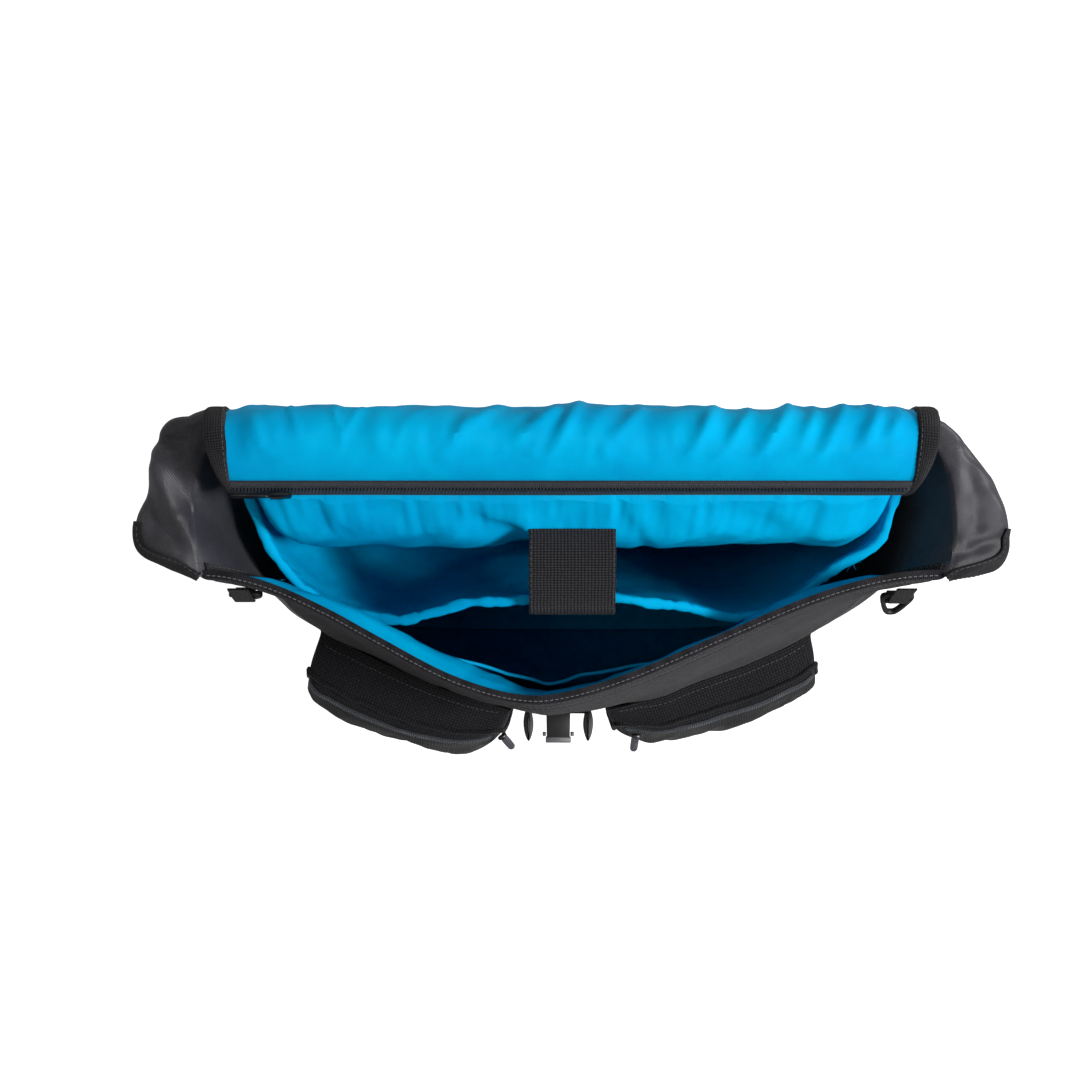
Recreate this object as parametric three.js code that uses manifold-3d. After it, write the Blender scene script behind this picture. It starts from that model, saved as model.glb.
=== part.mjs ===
// Laptop pannier bag, standing open on its base with its lid thrown back.
// Millimetres, +Z up. The origin is the centre of the base's underside.
// +X is the bag's right as seen from its front, -Y its front, +Y the side of the bicycle.
import * as THREE from "three";
import { mergeVertices } from "three/addons/utils/BufferGeometryUtils.js";
import Module from "manifold-3d";

const wasm = await Module();
wasm.setup();

// Clearances
const GAP = 0.3; // between pieces that touch
const HALF_SEAM = 0.18; // each panel stops this far from the seam line

// Walls
const WOVEN_WALL = 2; // woven outer cloth of the front panel, lid and pockets
const GUSSET_WALL = 1.5; // coated cloth of the two gussets
const BACK_WALL = 5; // stiff back panel, board and cloth together
const BASE_WALL = 3; // stiff base
const LINING_WALL = 1; // blue lining cloth
const DIVIDER_WALL = 4; // lightly padded sleeve divider
const WEBBING = 1.8; // all webbing
const BAND_WALL = 1.2; // corner bands, seam tapes and binding tape

// Body: sizes at the base, at the belly and at the rim
const BODY_HEIGHT = 318;
const BASE_SIDE = 170; // half width of the base
const BASE_FRONT = 58; // front edge of the base ahead of the origin
const BASE_BACK = 58;
const BASE_SEAM_IN = 20; // the front corner seam, in from the side
const BASE_SEAM_FORWARD = 54;
const BASE_BACK_SEAM_IN = 12;
const BASE_BACK_SEAM_BEHIND = 56;
const BELLY_SIDE = 190;
const BELLY_FRONT = 100;
const BELLY_BACK = 60;
const BELLY_SEAM_IN = 27;
const BELLY_SEAM_FORWARD = 42;
const BELLY_BACK_SEAM_IN = 6;
const BELLY_BACK_SEAM_BEHIND = 58;
const BELLY_LEFT = 8; // the belly's foremost point lies a little to the left
const NECK_SIDE = 204; // the neck is the narrow place just below the rim
const NECK_FRONT = 87;
const NECK_BACK = 60;
const NECK_SEAM_IN = 26;
const NECK_SEAM_FORWARD = 15;
const NECK_BACK_SEAM_IN = 12;
const NECK_BACK_SEAM_BEHIND = 62;
const NECK_LEFT = 15;
const RIM_SIDE = 216;
const RIM_FRONT = 77;
const RIM_BACK = 60;
const RIM_SEAM_IN = 5;
const RIM_SEAM_FORWARD = 6;
const RIM_BACK_SEAM_IN = 13;
const RIM_BACK_SEAM_BEHIND = 72; // the back seams lean backwards at the rim
const RIM_LEFT = 20;
const LEFT_GUSSET_DENT = 3; // the left gusset's front half has sagged inwards

// Collar: the top of each gusset folded outwards
const COLLAR_REACH = 32;
const COLLAR_DROP = 20;

// Laptop sleeve
const PAD_WIDTH_SHARE = 0.92; // of the back panel, from seam to seam
const PAD_BULGE = 42; // thickest place of the padded back wall
const SLEEVE_TOP = BODY_HEIGHT - 21; // top edge of the divider
const SLEEVE_TOP_HALF_WIDTH = 190;
const SLEEVE_FLOOR_HALF_WIDTH = 146;
const SLEEVE_DIP = 28; // sag of the top edge towards the bag's corners
const SLEEVE_TOP_FORWARD = 25; // foremost point of the divider's top edge
const SLEEVE_FLOOR_BEHIND = 12; // the divider's foot stands this far behind the middle
const SLEEVE_BACK_END = 44; // where the divider's sides end, behind the middle
const SLEEVE_HEM = 3; // radius of the rolled hem
const SLEEVE_STRAP_WIDTH = 50;
const SLEEVE_STRAP_ARCH = 14; // rise of the strap above the divider's top
const SLEEVE_STRAP_TAIL = 20;
const SLEEVE_STRAP_SPRING = 3.5; // its end springs forward off the divider

// Lining of the front: it hangs straight from the rim, away from the panel's neck
const LINING_HANG = 10;

// Slip pocket inside the front
const SLIP_SPAN = 0.44; // half its span, as a share of the panel from centre to seam
const SLIP_TOP = BODY_HEIGHT - 46;
const SLIP_HEIGHT = 130;
const SLIP_GAPE = 4.5;

// Lid
const LID_LENGTH = 355;
const LID_HALF_WIDTH = 201;
const LID_HUMP = 27; // rise of the fold above the rim
const LID_BEHIND = 88; // the hanging lid lies this far behind the middle
const LID_CORNER = 38;
const LID_LEAN = 0.012; // the hanging lid leans in by this share of its drop
const LINING_LIFT = 15; // the lining starts this far in front of the outer cloth
const LINING_LIES = 0.16; // and lies on it from this share of the lid's length
const LID_BINDING = 5; // half width of the binding tape on each face
const LID_ZIP_WIDTH = 14;
const LID_ZIP_HALF_LENGTH = 186;
const LID_TEETH_WIDTH = 6;
const ZIP_TAPE = 0.8; // thickness of a zip's tape
const ZIP_TEETH = 1.6; // thickness of its teeth
const SLIDER_THICKNESS = 3;
const SLIDER_FROM_END = 24; // the lid's slider stands this far from the zip's left end
const BINDING_START = 0.15; // of the lid's length

// Outer pockets
const POCKET_TOP = BODY_HEIGHT - 113;
const POCKET_HEIGHT = 155;
const POCKET_DEPTHS = { left: 43, right: 38 };
const POCKET_INNER = 0.19; // ends along the panel, as shares from centre to seam
const POCKET_OUTERS = { left: 0.985, right: 0.965 };
const POCKET_SEAT = 0.5; // a pocket's rim stands this far off the panel
const POCKET_ZIP_WIDTH = 7;
const POCKET_ZIP_BELOW = 11.6; // the zip runs this far below the pocket's top edge
const POCKET_PULL = { width: 5, depth: 2.4, height: 19 };
const POCKET_PULL_AT = 0.1; // along the pocket from its inner end

// Fittings
const RING_WIDTH = 20;
const RING_LENGTH = 25;
const RING_THICKNESS = 4;
const RING_BAR = 3;
const RING_SLOT = 4;
const RING_TIP = 4; // half width of its rounded tip
const RING_WEB = 1.2;
const RING_OFF_SEAM = 1.5; // its middle lies this far outside the seam above it
const RING_FORWARD = 6; // its bar's distance in front of that seam
const RING_HEIGHT = BODY_HEIGHT - 34; // of its bar
const RING_TAB_TOP = BODY_HEIGHT - 15;
const RING_TAB_IN = 8; // the tab is narrower than the ring by this much
const RING_TILTS = { left: 84, right: 60 }; // degrees below level
const BUCKLE_WIDTH = 52;
const BUCKLE_LENGTH = 44;
const BUCKLE_THICKNESS = 7;
const BUCKLE_HEIGHT = 68; // underside of the buckle above the floor
const BUCKLE_TIP = BELLY_FRONT + 36; // arm tips ahead of the origin
const BUCKLE_WEBBING = 38;
const BUCKLE_LEFT = 5; // it hangs between the two pockets
const BUCKLE_TAB = 80; // length of the tab above the buckle
const BUCKLE_SLOT = [3.5, 8]; // near and far side of its slot, from its back edge
const BUCKLE_HANG = 16; // its tab leaves the panel this far above it
const SOCKET_WIDTH = 54;
const SOCKET_HEIGHT = 42;
const SOCKET_THICKNESS = 12;
const SOCKET_ALONG = 0.9; // place of the socket along the lid
const SOCKET_WEB = 110; // length of its webbing
const RAIL_LENGTH = 280;
const RAIL_HEIGHT = 26;
const RAIL_THICKNESS = 4;
const RAIL_CENTRE_HEIGHT = BODY_HEIGHT - 36;
const HOOK_SPACING = 190;
const HOOK_WIDTH = 24;
const HOOK_MOUTH = 13; // clear space for a carrier tube
const HOOK_WALL = 4;
const HOOK_DEPTH = 24;

// Colours
const CHARCOAL = { color: 0x3a393d, roughness: 0.85 };
const COATED = { color: 0x2a2a2e, roughness: 0.6 };
const BLUE = { color: 0x0084c8, roughness: 0.5 };
const TAPE = { color: 0x1b1b1e, roughness: 0.8 };
const ZIP = { color: 0x3a4048, roughness: 0.7 };
const PLASTIC = { color: 0x121214, roughness: 0.4 };
const METAL = { color: 0x8a8c92, roughness: 0.35, metalness: 0.9 };

const { lerp, clamp } = THREE.MathUtils;
const smooth = (u) => u * u * (3 - 2 * u);
const range = (n) => Array.from({ length: n }, (_, i) => i / (n - 1));
const spread = (from, to, n) => range(n).map((u) => lerp(from, to, u));
const handOf = (side) => (side < 0 ? "left" : "right");

// One column of a table at any place along its first column, by a smooth curve through the rows
function read(rows, key, column, at) {
  const last = rows.length - 1;
  let i = 0;
  while (i < last - 1 && at > rows[i + 1][key]) i += 1;
  const slope = (a, b) => (rows[b][column] - rows[a][column]) / (rows[b][key] - rows[a][key]);
  const here = slope(i, i + 1);
  const m0 = i > 0 ? (slope(i - 1, i) + here) / 2 : here;
  const m1 = i < last - 1 ? (slope(i + 1, i + 2) + here) / 2 : here;
  const width = rows[i + 1][key] - rows[i][key];
  const u = clamp((at - rows[i][key]) / width, 0, 1);
  const bend = u * (1 - u) * width;
  return lerp(rows[i][column], rows[i + 1][column], smooth(u))
    + bend * ((1 - u) * m0 - u * m1);
}

// How much each height has of the sizes at the base, the belly, the neck and the rim
const SECTIONS = [
  { up: 0, belly: 0, neck: 0, rim: 0 },
  { up: 0.08, belly: 0.28, neck: 0, rim: 0 },
  { up: 0.22, belly: 0.6, neck: 0, rim: 0 },
  { up: 0.44, belly: 0.9, neck: 0, rim: 0 },
  { up: 0.645, belly: 1, neck: 0, rim: 0 },
  { up: 0.78, belly: 0.5, neck: 0.5, rim: 0 },
  { up: 0.91, belly: 0, neck: 1, rim: 0 },
  { up: 1, belly: 0, neck: 0, rim: 1 },
];
const STATIONS = {
  front: [-BASE_FRONT, -BELLY_FRONT, -NECK_FRONT, -RIM_FRONT],
  seamOut: [
    BASE_SIDE - BASE_SEAM_IN, BELLY_SIDE - BELLY_SEAM_IN,
    NECK_SIDE - NECK_SEAM_IN, RIM_SIDE - RIM_SEAM_IN,
  ],
  seamY: [-BASE_SEAM_FORWARD, -BELLY_SEAM_FORWARD, -NECK_SEAM_FORWARD, -RIM_SEAM_FORWARD],
  side: [BASE_SIDE, BELLY_SIDE, NECK_SIDE, RIM_SIDE],
  backSeamOut: [
    BASE_SIDE - BASE_BACK_SEAM_IN, BELLY_SIDE - BELLY_BACK_SEAM_IN,
    NECK_SIDE - NECK_BACK_SEAM_IN, RIM_SIDE - RIM_BACK_SEAM_IN,
  ],
  backSeamY: [
    BASE_BACK_SEAM_BEHIND, BELLY_BACK_SEAM_BEHIND, NECK_BACK_SEAM_BEHIND, RIM_BACK_SEAM_BEHIND,
  ],
  back: [BASE_BACK, BELLY_BACK, NECK_BACK, RIM_BACK],
  centre: [0, -BELLY_LEFT, -NECK_LEFT, -RIM_LEFT],
  bow: [6, 1.5, 1.5, 1.5], // how the front rounds from its middle to its seams
  pointed: [0, 0, 0.5, 1], // share of the rim's own line, drawn out to a point in the middle
};

function section(v) {
  const [belly, neck, rim] = ["belly", "neck", "rim"].map((k) => read(SECTIONS, "up", k, v));
  const shares = [1 - belly - neck - rim, belly, neck, rim];
  const mix = (sizes) => sizes.reduce((sum, size, i) => sum + size * shares[i], 0);
  const sizes = Object.fromEntries(Object.entries(STATIONS).map(([k, at]) => [k, mix(at)]));
  return { ...sizes, rim };
}

// A point of the body's outside. q runs right round the bag: 0 at the front's middle,
// 1 at the front seam, 2 at the back seam and 3 at the back's middle, negative on the left.
// v is the height as a share of the body.
function bodyPoint(q, v) {
  const turned = q > 3 ? q - 6 : q < -3 ? q + 6 : q;
  const side = turned < 0 ? -1 : 1;
  const t = Math.abs(turned);
  const s = section(v);
  const z = v * BODY_HEIGHT;
  if (t <= 1) {
    const lead = side < 0 ? 1 : 0.88;
    const rise = lerp(t ** s.bow, smooth(t ** lead), s.pointed);
    return new THREE.Vector3(lerp(s.centre, side * s.seamOut, t), lerp(s.front, s.seamY, rise), z);
  }
  if (t <= 2) {
    const handle = (8 * s.side - s.seamOut - s.backSeamOut) / 6;
    const dent = side < 0 ? LEFT_GUSSET_DENT * s.rim : 0;
    const depth = s.backSeamY - s.seamY;
    const arc = new THREE.CubicBezierCurve(
      new THREE.Vector2(s.seamOut, s.seamY),
      new THREE.Vector2(handle - dent, s.seamY + 0.14 * depth),
      new THREE.Vector2(handle + 0.3 * dent, s.backSeamY - 0.2 * depth),
      new THREE.Vector2(s.backSeamOut, s.backSeamY),
    );
    const p = arc.getPoint(t - 1);
    return new THREE.Vector3(side * p.x, p.y, z);
  }
  const u = 3 - t;
  return new THREE.Vector3(side * s.backSeamOut * u, lerp(s.back, s.backSeamY, u ** 4), z);
}

// The collar's reach beyond the fold, along the gusset from its front seam to its back seam
const COLLAR_ALONG = [
  { along: 0, right: 0.15, left: 0.15 },
  { along: 0.08, right: 0.45, left: 0.5 },
  { along: 0.18, right: 0.82, left: 0.92 },
  { along: 0.35, right: 1, left: 1.08 },
  { along: 0.6, right: 0.85, left: 0.8 },
  { along: 0.8, right: 0.55, left: 0.6 },
  { along: 1, right: 0.35, left: 0.45 },
];
// Its profile from the fold to its hanging edge
const COLLAR_PROFILE = [
  { along: 0, out: 0, down: 0 },
  { along: 0.2, out: 0.22, down: -0.1 },
  { along: 0.45, out: 0.6, down: -0.02 },
  { along: 0.7, out: 0.92, down: 0.3 },
  { along: 0.85, out: 1, down: 0.65 },
  { along: 1, out: 0.97, down: 1 },
];

// A point of a gusset's outside: r is the height share up to 1, and beyond it the collar
function gussetPoint(q, r) {
  const p = bodyPoint(q, Math.min(r, 1));
  if (r <= 1) return p;
  const out = flat(bodyNormal(q, 1));
  const size = read(COLLAR_ALONG, "along", handOf(q), Math.abs(q) - 1);
  const k = r - 1;
  p.addScaledVector(out, COLLAR_REACH * size * read(COLLAR_PROFILE, "along", "out", k));
  p.z -= COLLAR_DROP * Math.min(size, 1) * read(COLLAR_PROFILE, "along", "down", k);
  return p;
}

// The normal of a two-parameter surface, by differences
function normalOf(surface, a, b, stepA, stepB, [lowB, highB]) {
  const alongA = surface(a + stepA, b).sub(surface(a - stepA, b));
  const high = Math.min(b + stepB, highB);
  const low = Math.max(b - stepB, lowB);
  const alongB = surface(a, high).sub(surface(a, low));
  return alongA.cross(alongB).normalize();
}

const bodyNormal = (q, v) => normalOf(bodyPoint, q, v, 0.03, 0.02, [0, 1]);
const gussetNormal = (q, r) => normalOf(gussetPoint, q, r, 0.03, 0.02, [0, 2]);

function flat(n) {
  return new THREE.Vector3(n.x, n.y, 0).normalize();
}

// A closed solid between two grids of points with the same rows and columns
function slab(front, back) {
  const rows = front.length;
  const columns = front[0].length;
  const points = [...front.flat(), ...back.flat()];
  const id = (layer, i, j) => layer * rows * columns + i * columns + j;
  const faces = [];
  const quad = (a, b, c, d) => faces.push(a, b, c, a, c, d);
  for (let i = 0; i < rows - 1; i += 1) {
    for (let j = 0; j < columns - 1; j += 1) {
      quad(id(0, i, j), id(0, i, j + 1), id(0, i + 1, j + 1), id(0, i + 1, j));
      quad(id(1, i, j), id(1, i + 1, j), id(1, i + 1, j + 1), id(1, i, j + 1));
    }
  }
  for (let j = 0; j < columns - 1; j += 1) {
    quad(id(0, 0, j + 1), id(0, 0, j), id(1, 0, j), id(1, 0, j + 1));
    quad(id(0, rows - 1, j), id(0, rows - 1, j + 1), id(1, rows - 1, j + 1), id(1, rows - 1, j));
  }
  for (let i = 0; i < rows - 1; i += 1) {
    quad(id(0, i, 0), id(0, i + 1, 0), id(1, i + 1, 0), id(1, i, 0));
    const last = columns - 1;
    quad(id(0, i + 1, last), id(0, i, last), id(1, i, last), id(1, i + 1, last));
  }
  return facingOut(points, faces);
}

function facingOut(points, faces) {
  let volume = 0;
  for (let k = 0; k < faces.length; k += 3) {
    const [a, b, c] = [points[faces[k]], points[faces[k + 1]], points[faces[k + 2]]];
    volume += a.dot(b.clone().cross(c));
  }
  const ordered = volume < 0 ? faces.slice().reverse() : faces;
  const geometry = new THREE.BufferGeometry();
  const numbers = points.flatMap((p) => [p.x, p.y, p.z]);
  geometry.setAttribute("position", new THREE.Float32BufferAttribute(numbers, 3));
  geometry.setIndex(ordered);
  geometry.computeVertexNormals();
  return geometry;
}

// A wall laid along a surface: offset is how far its outer face lies outside the surface
function wall(surface, normal, as, bs, offset, thickness, square = [true, true]) {
  const place = (a, b, row, depth) => {
    const n = normal(a, b);
    const cutSquare = (row === 0 && square[0]) || (row === bs.length - 1 && square[1]);
    return surface(a, b).addScaledVector(cutSquare ? flat(n) : n, depth);
  };
  const layer = (depth) => bs.map((b, row) => as.map((a) => place(a, b, row, depth)));
  return slab(layer(offset), layer(offset - thickness));
}

// A wall with its own offset at each place
function shapedWall(surface, normal, as, bs, offsetAt, thickness) {
  const layer = (extra) => bs.map((b) => as.map((a) => surface(a, b)
    .addScaledVector(normal(a, b), offsetAt(a, b) - extra)));
  return slab(layer(0), layer(thickness));
}

// A list of places with further ones merged in, where the nearest old ones give way
function merged(places, extra) {
  const isEnd = (i) => i === 0 || i === places.length - 1;
  const kept = places.filter((p, i) => isEnd(i) || extra.every((e) => Math.abs(e - p) > 0.02));
  return [...kept, ...extra].sort((a, b) => a - b);
}

const within = (places, low, high) => places.filter((p) => p > low - 1e-9 && p < high + 1e-9);

// The share of a panel that half a seam takes
function seamShare(qFrom, qTo) {
  return HALF_SEAM / bodyPoint(qFrom, 1).distanceTo(bodyPoint(qTo, 1));
}

const FRONT_SEAM = 5 * seamShare(0, 1);
const GUSSET_SEAM = 2.8 * seamShare(1, 2);
const BACK_SEAM = seamShare(2, 3);
const WALL_FOOT = (BASE_WALL + GAP) / BODY_HEIGHT;

// Layers that lie on each other share these rows and columns
const LINING_END = 0.965; // of the front panel, from its middle to its seam
const LINING_TOP = 0.985; // of the body's height
const SLIP_RANGE = [(SLIP_TOP - SLIP_HEIGHT) / BODY_HEIGHT, SLIP_TOP / BODY_HEIGHT];
const TAPE_RANGE = [0.85, LINING_TOP];
const BAND_RANGE = [1.3, 1.96];
const TAPE_ACROSS = [1.06, 1.16];
const BAND_ACROSS = [1.06, 1.36];
const BODY_ROWS = merged(
  [WALL_FOOT, 0.09, 0.2, 0.33, 0.43, 0.54, 0.645, 0.75, 0.84, 0.92, 1],
  [...SLIP_RANGE, LINING_TOP],
);
const FRONT_COLUMNS = merged(
  spread(-1 + FRONT_SEAM, 1 - FRONT_SEAM, 21),
  [-LINING_END, -SLIP_SPAN, SLIP_SPAN, LINING_END],
);
const GUSSET_COLUMNS = merged(
  spread(1 + GUSSET_SEAM, 2 - GUSSET_SEAM, 11),
  [...TAPE_ACROSS, BAND_ACROSS[1]],
);
const COLLAR_ROWS = [BAND_RANGE[0], 1.5, 1.7, 1.85, BAND_RANGE[1], 2];

const frontPanel = () => wall(bodyPoint, bodyNormal, FRONT_COLUMNS, BODY_ROWS, 0, WOVEN_WALL);

function gusset(side) {
  const across = GUSSET_COLUMNS.map((t) => side * t);
  const up = [...BODY_ROWS, ...COLLAR_ROWS];
  return wall(gussetPoint, gussetNormal, across, up, 0, GUSSET_WALL, [true, false]);
}

const BACK_COLUMNS = merged(
  spread(2 + BACK_SEAM, 4 - BACK_SEAM, 13),
  [3 - PAD_WIDTH_SHARE, 3 + PAD_WIDTH_SHARE],
);
const backPanel = () => wall(bodyPoint, bodyNormal, BACK_COLUMNS, BODY_ROWS, 0, BACK_WALL);

// A flat plate with the body's outline at its foot, drawn in from the front and from the rest
function floorPlate([frontInset, restInset], bottom, thickness) {
  const outline = new THREE.Shape(range(57).slice(0, 56).map((u) => {
    const q = lerp(-3, 3, u);
    const inset = Math.abs(q) < 1 ? frontInset : restInset;
    const p = bodyPoint(q, WALL_FOOT).addScaledVector(flat(bodyNormal(q, WALL_FOOT)), -inset);
    return new THREE.Vector2(p.x, p.y);
  }));
  const plate = new THREE.ExtrudeGeometry(outline, { depth: thickness, bevelEnabled: false });
  return plate.translate(0, 0, bottom);
}

const FLOOR_LINING_TOP = BASE_WALL + GAP + LINING_WALL;
const LINING_INSETS = [WOVEN_WALL + LINING_WALL + 2 * GAP, BACK_WALL + GAP];

// How much of its hang the lining has at each height, and from its middle to its seams
const HANG_UP = [
  { up: 0, hang: 0 }, { up: 0.2, hang: 0.05 }, { up: 0.45, hang: 0.3 }, { up: 0.7, hang: 0.75 },
  { up: 0.86, hang: 1 }, { up: 0.92, hang: 0.75 }, { up: 0.965, hang: 0.3 }, { up: LINING_TOP, hang: 0 },
];
const HANG_ACROSS = [
  { at: 0, hang: 1 }, { at: 0.3, hang: 1 }, { at: 0.6, hang: 0.3 }, { at: 0.8, hang: 0.2 },
  { at: LINING_END, hang: 0 },
];

// How far inside the outside of the front panel the lining lies
function liningDepth(q, v) {
  const hang = read(HANG_UP, "up", "hang", v) * read(HANG_ACROSS, "at", "hang", Math.abs(q));
  return WOVEN_WALL + GAP + LINING_HANG * hang;
}

function frontLining() {
  const across = within(FRONT_COLUMNS, -LINING_END, LINING_END);
  const up = within(BODY_ROWS, 0, LINING_TOP);
  return shapedWall(bodyPoint, bodyNormal, across, up, (q, v) => -liningDepth(q, v), LINING_WALL);
}

// Thickness of the padded back wall from its foot to its top, and from its middle to its sides
const PAD_UP = [
  { up: 0, thick: 0.22 },
  { up: 0.3, thick: 0.38 },
  { up: 0.6, thick: 0.68 },
  { up: 0.8, thick: 0.95 },
  { up: 0.89, thick: 1 },
  { up: 0.95, thick: 0.85 },
  { up: 1, thick: 0.42 },
];

function padThickness(q, up) {
  const u = Math.abs(3 - q) / PAD_WIDTH_SHARE;
  const sides = lerp(0.2, 1, 1 - Math.min(u, 1) ** 10);
  return PAD_BULGE * read(PAD_UP, "up", "thick", up) * sides;
}

function sleeveBack() {
  const across = within(BACK_COLUMNS, 3 - PAD_WIDTH_SHARE, 3 + PAD_WIDTH_SHARE);
  const foot = (FLOOR_LINING_TOP + GAP) / BODY_HEIGHT;
  const vs = [foot, ...BODY_ROWS.slice(1)];
  const layer = (extra) => vs.map((v) => across.map((q) => bodyPoint(q, v)
    .addScaledVector(flat(bodyNormal(q, v)), -BACK_WALL - GAP - extra(q, (v - foot) / (1 - foot)))));
  return slab(layer(() => 0), layer(padThickness));
}

// The divider's plan: across as shares of its half width, forward as shares from
// its back ends to its foremost point, dip as shares of the sag of its top edge
const DIVIDER_PLAN = [
  { at: -1, topOut: -1, topForward: 0, dip: 0, floorOut: -1, floorForward: 0.1 },
  { at: -0.9, topOut: -0.935, topForward: 0.49, dip: 0.3, floorOut: -0.97, floorForward: 0.7 },
  { at: -0.78, topOut: -0.83, topForward: 0.85, dip: 0.75, floorOut: -0.85, floorForward: 0.96 },
  { at: -0.62, topOut: -0.7, topForward: 1.05, dip: 1, floorOut: -0.68, floorForward: 1 },
  { at: -0.47, topOut: -0.53, topForward: 1.1, dip: 0.7, floorOut: -0.5, floorForward: 1 },
  { at: -0.3, topOut: -0.34, topForward: 0.96, dip: 0.3, floorOut: -0.3, floorForward: 1 },
  { at: 0, topOut: 0, topForward: 0.9, dip: 0, floorOut: 0, floorForward: 1 },
  { at: 0.3, topOut: 0.33, topForward: 1, dip: 0.1, floorOut: 0.3, floorForward: 1 },
  { at: 0.47, topOut: 0.52, topForward: 1.07, dip: 0.35, floorOut: 0.5, floorForward: 1 },
  { at: 0.62, topOut: 0.68, topForward: 0.957, dip: 0.55, floorOut: 0.68, floorForward: 1 },
  { at: 0.78, topOut: 0.83, topForward: 0.66, dip: 0.3, floorOut: 0.85, floorForward: 0.96 },
  { at: 0.9, topOut: 0.955, topForward: 0.395, dip: 0.1, floorOut: 0.97, floorForward: 0.7 },
  { at: 1, topOut: 1, topForward: 0, dip: 0, floorOut: 1, floorForward: 0.1 },
];

// A point midway through the divider: a runs across it from -1 to 1, up from foot to top
function dividerPoint(a, up) {
  const plan = (column) => read(DIVIDER_PLAN, "at", column, a);
  const topX = SLEEVE_TOP_HALF_WIDTH * plan("topOut");
  const topY = SLEEVE_BACK_END - (SLEEVE_BACK_END + SLEEVE_TOP_FORWARD) * plan("topForward");
  const floorX = SLEEVE_FLOOR_HALF_WIDTH * plan("floorOut");
  const floorY = SLEEVE_BACK_END - (SLEEVE_BACK_END - SLEEVE_FLOOR_BEHIND) * plan("floorForward");
  const open = smooth(up) * 0.6 + up * 0.4;
  const foot = FLOOR_LINING_TOP + GAP;
  const top = SLEEVE_TOP - SLEEVE_DIP * plan("dip");
  return new THREE.Vector3(lerp(floorX, topX, open), lerp(floorY, topY, open), lerp(foot, top, up));
}

const dividerNormal = (a, up) => normalOf(dividerPoint, clamp(a, -0.99, 0.99), up, 0.01, 0.02, [0, 1]);

// The divider's half thickness, swelling into the rolled hem near its top
const DIVIDER_UP = [
  { up: 0, half: 0 }, { up: 0.3, half: 0 }, { up: 0.6, half: 0 }, { up: 0.85, half: 0 },
  { up: 0.94, half: 0.1 }, { up: 0.965, half: 0.8 }, { up: 0.985, half: 1 }, { up: 1, half: 0.55 },
];

function sleeveDivider() {
  const across = spread(-1, 1, 25);
  const half = (row) => lerp(DIVIDER_WALL / 2, SLEEVE_HEM, row.half);
  const layer = (hand) => DIVIDER_UP.map((row) => across.map((a) => dividerPoint(a, row.up)
    .addScaledVector(flat(dividerNormal(a, row.up)), hand * half(row))));
  return slab(layer(1), layer(-1));
}

// A flat strap of webbing along a path of points in a plane across the bag
function strap(path, centreX, width, thickness) {
  const normals = path.map((p, i) => {
    const along = path[Math.min(i + 1, path.length - 1)].clone().sub(path[Math.max(i - 1, 0)]);
    return new THREE.Vector2(-along.y, along.x).normalize();
  });
  const edge = (x, depth) => path.map((p, i) => new THREE.Vector3(
    centreX + x,
    p.x + normals[i].x * depth,
    p.y + normals[i].y * depth,
  ));
  const layer = (depth) => [edge(-width / 2, depth), edge(width / 2, depth)];
  return slab(layer(thickness / 2), layer(-thickness / 2));
}

// The laptop strap: from the padded back wall over the divider's hem and down its front
function laptopStrap() {
  const sewnAt = 0.965; // height share of its end on the padded wall
  const onPad = bodyPoint(3, sewnAt).y - BACK_WALL - GAP - padThickness(3, sewnAt);
  const share = SLEEVE_STRAP_WIDTH / 2 / SLEEVE_TOP_HALF_WIDTH;
  const faceAt = (up) => Math.min(...[-share, 0, share].map((a) => dividerPoint(a, up).y));
  const lift = WEBBING / 2 + GAP;
  const hem = faceAt(1);
  const overHem = hem - SLEEVE_HEM - lift;
  const tailUp = 1 - SLEEVE_STRAP_TAIL / SLEEVE_TOP;
  const tailEnd = faceAt(tailUp) - DIVIDER_WALL / 2 - lift - SLEEVE_STRAP_SPRING;
  const path = new THREE.CatmullRomCurve3([
    new THREE.Vector3(onPad - lift, sewnAt * BODY_HEIGHT, 0),
    new THREE.Vector3(lerp(onPad, hem, 0.3), SLEEVE_TOP + SLEEVE_STRAP_ARCH, 0),
    new THREE.Vector3(lerp(onPad, hem, 0.7), SLEEVE_TOP + 0.8 * SLEEVE_STRAP_ARCH, 0),
    new THREE.Vector3(hem - 0.5 * SLEEVE_HEM, SLEEVE_TOP + 0.35 * SLEEVE_STRAP_ARCH, 0),
    new THREE.Vector3(overHem - 0.6, SLEEVE_TOP - SLEEVE_HEM, 0),
    new THREE.Vector3(lerp(overHem, tailEnd, 0.7), SLEEVE_TOP - 0.6 * SLEEVE_STRAP_TAIL, 0),
    new THREE.Vector3(tailEnd, SLEEVE_TOP - SLEEVE_STRAP_TAIL, 0),
  ], false, "centripetal");
  const points = path.getSpacedPoints(16).map((p) => new THREE.Vector2(p.x, p.y));
  return strap(points, 0, SLEEVE_STRAP_WIDTH, WEBBING);
}

function slipPocket() {
  const across = within(FRONT_COLUMNS, -SLIP_SPAN, SLIP_SPAN);
  const bs = within(BODY_ROWS, ...SLIP_RANGE);
  const depth = (q, v) => {
    const up = (v * BODY_HEIGHT - SLIP_TOP) / SLIP_HEIGHT + 1;
    const gape = SLIP_GAPE * smooth(clamp(up, 0, 1)) * (1 - (q / SLIP_SPAN) ** 2);
    return liningDepth(q, v) + LINING_WALL + GAP + gape;
  };
  return shapedWall(bodyPoint, bodyNormal, across, bs, (q, v) => -depth(q, v), LINING_WALL);
}

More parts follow.
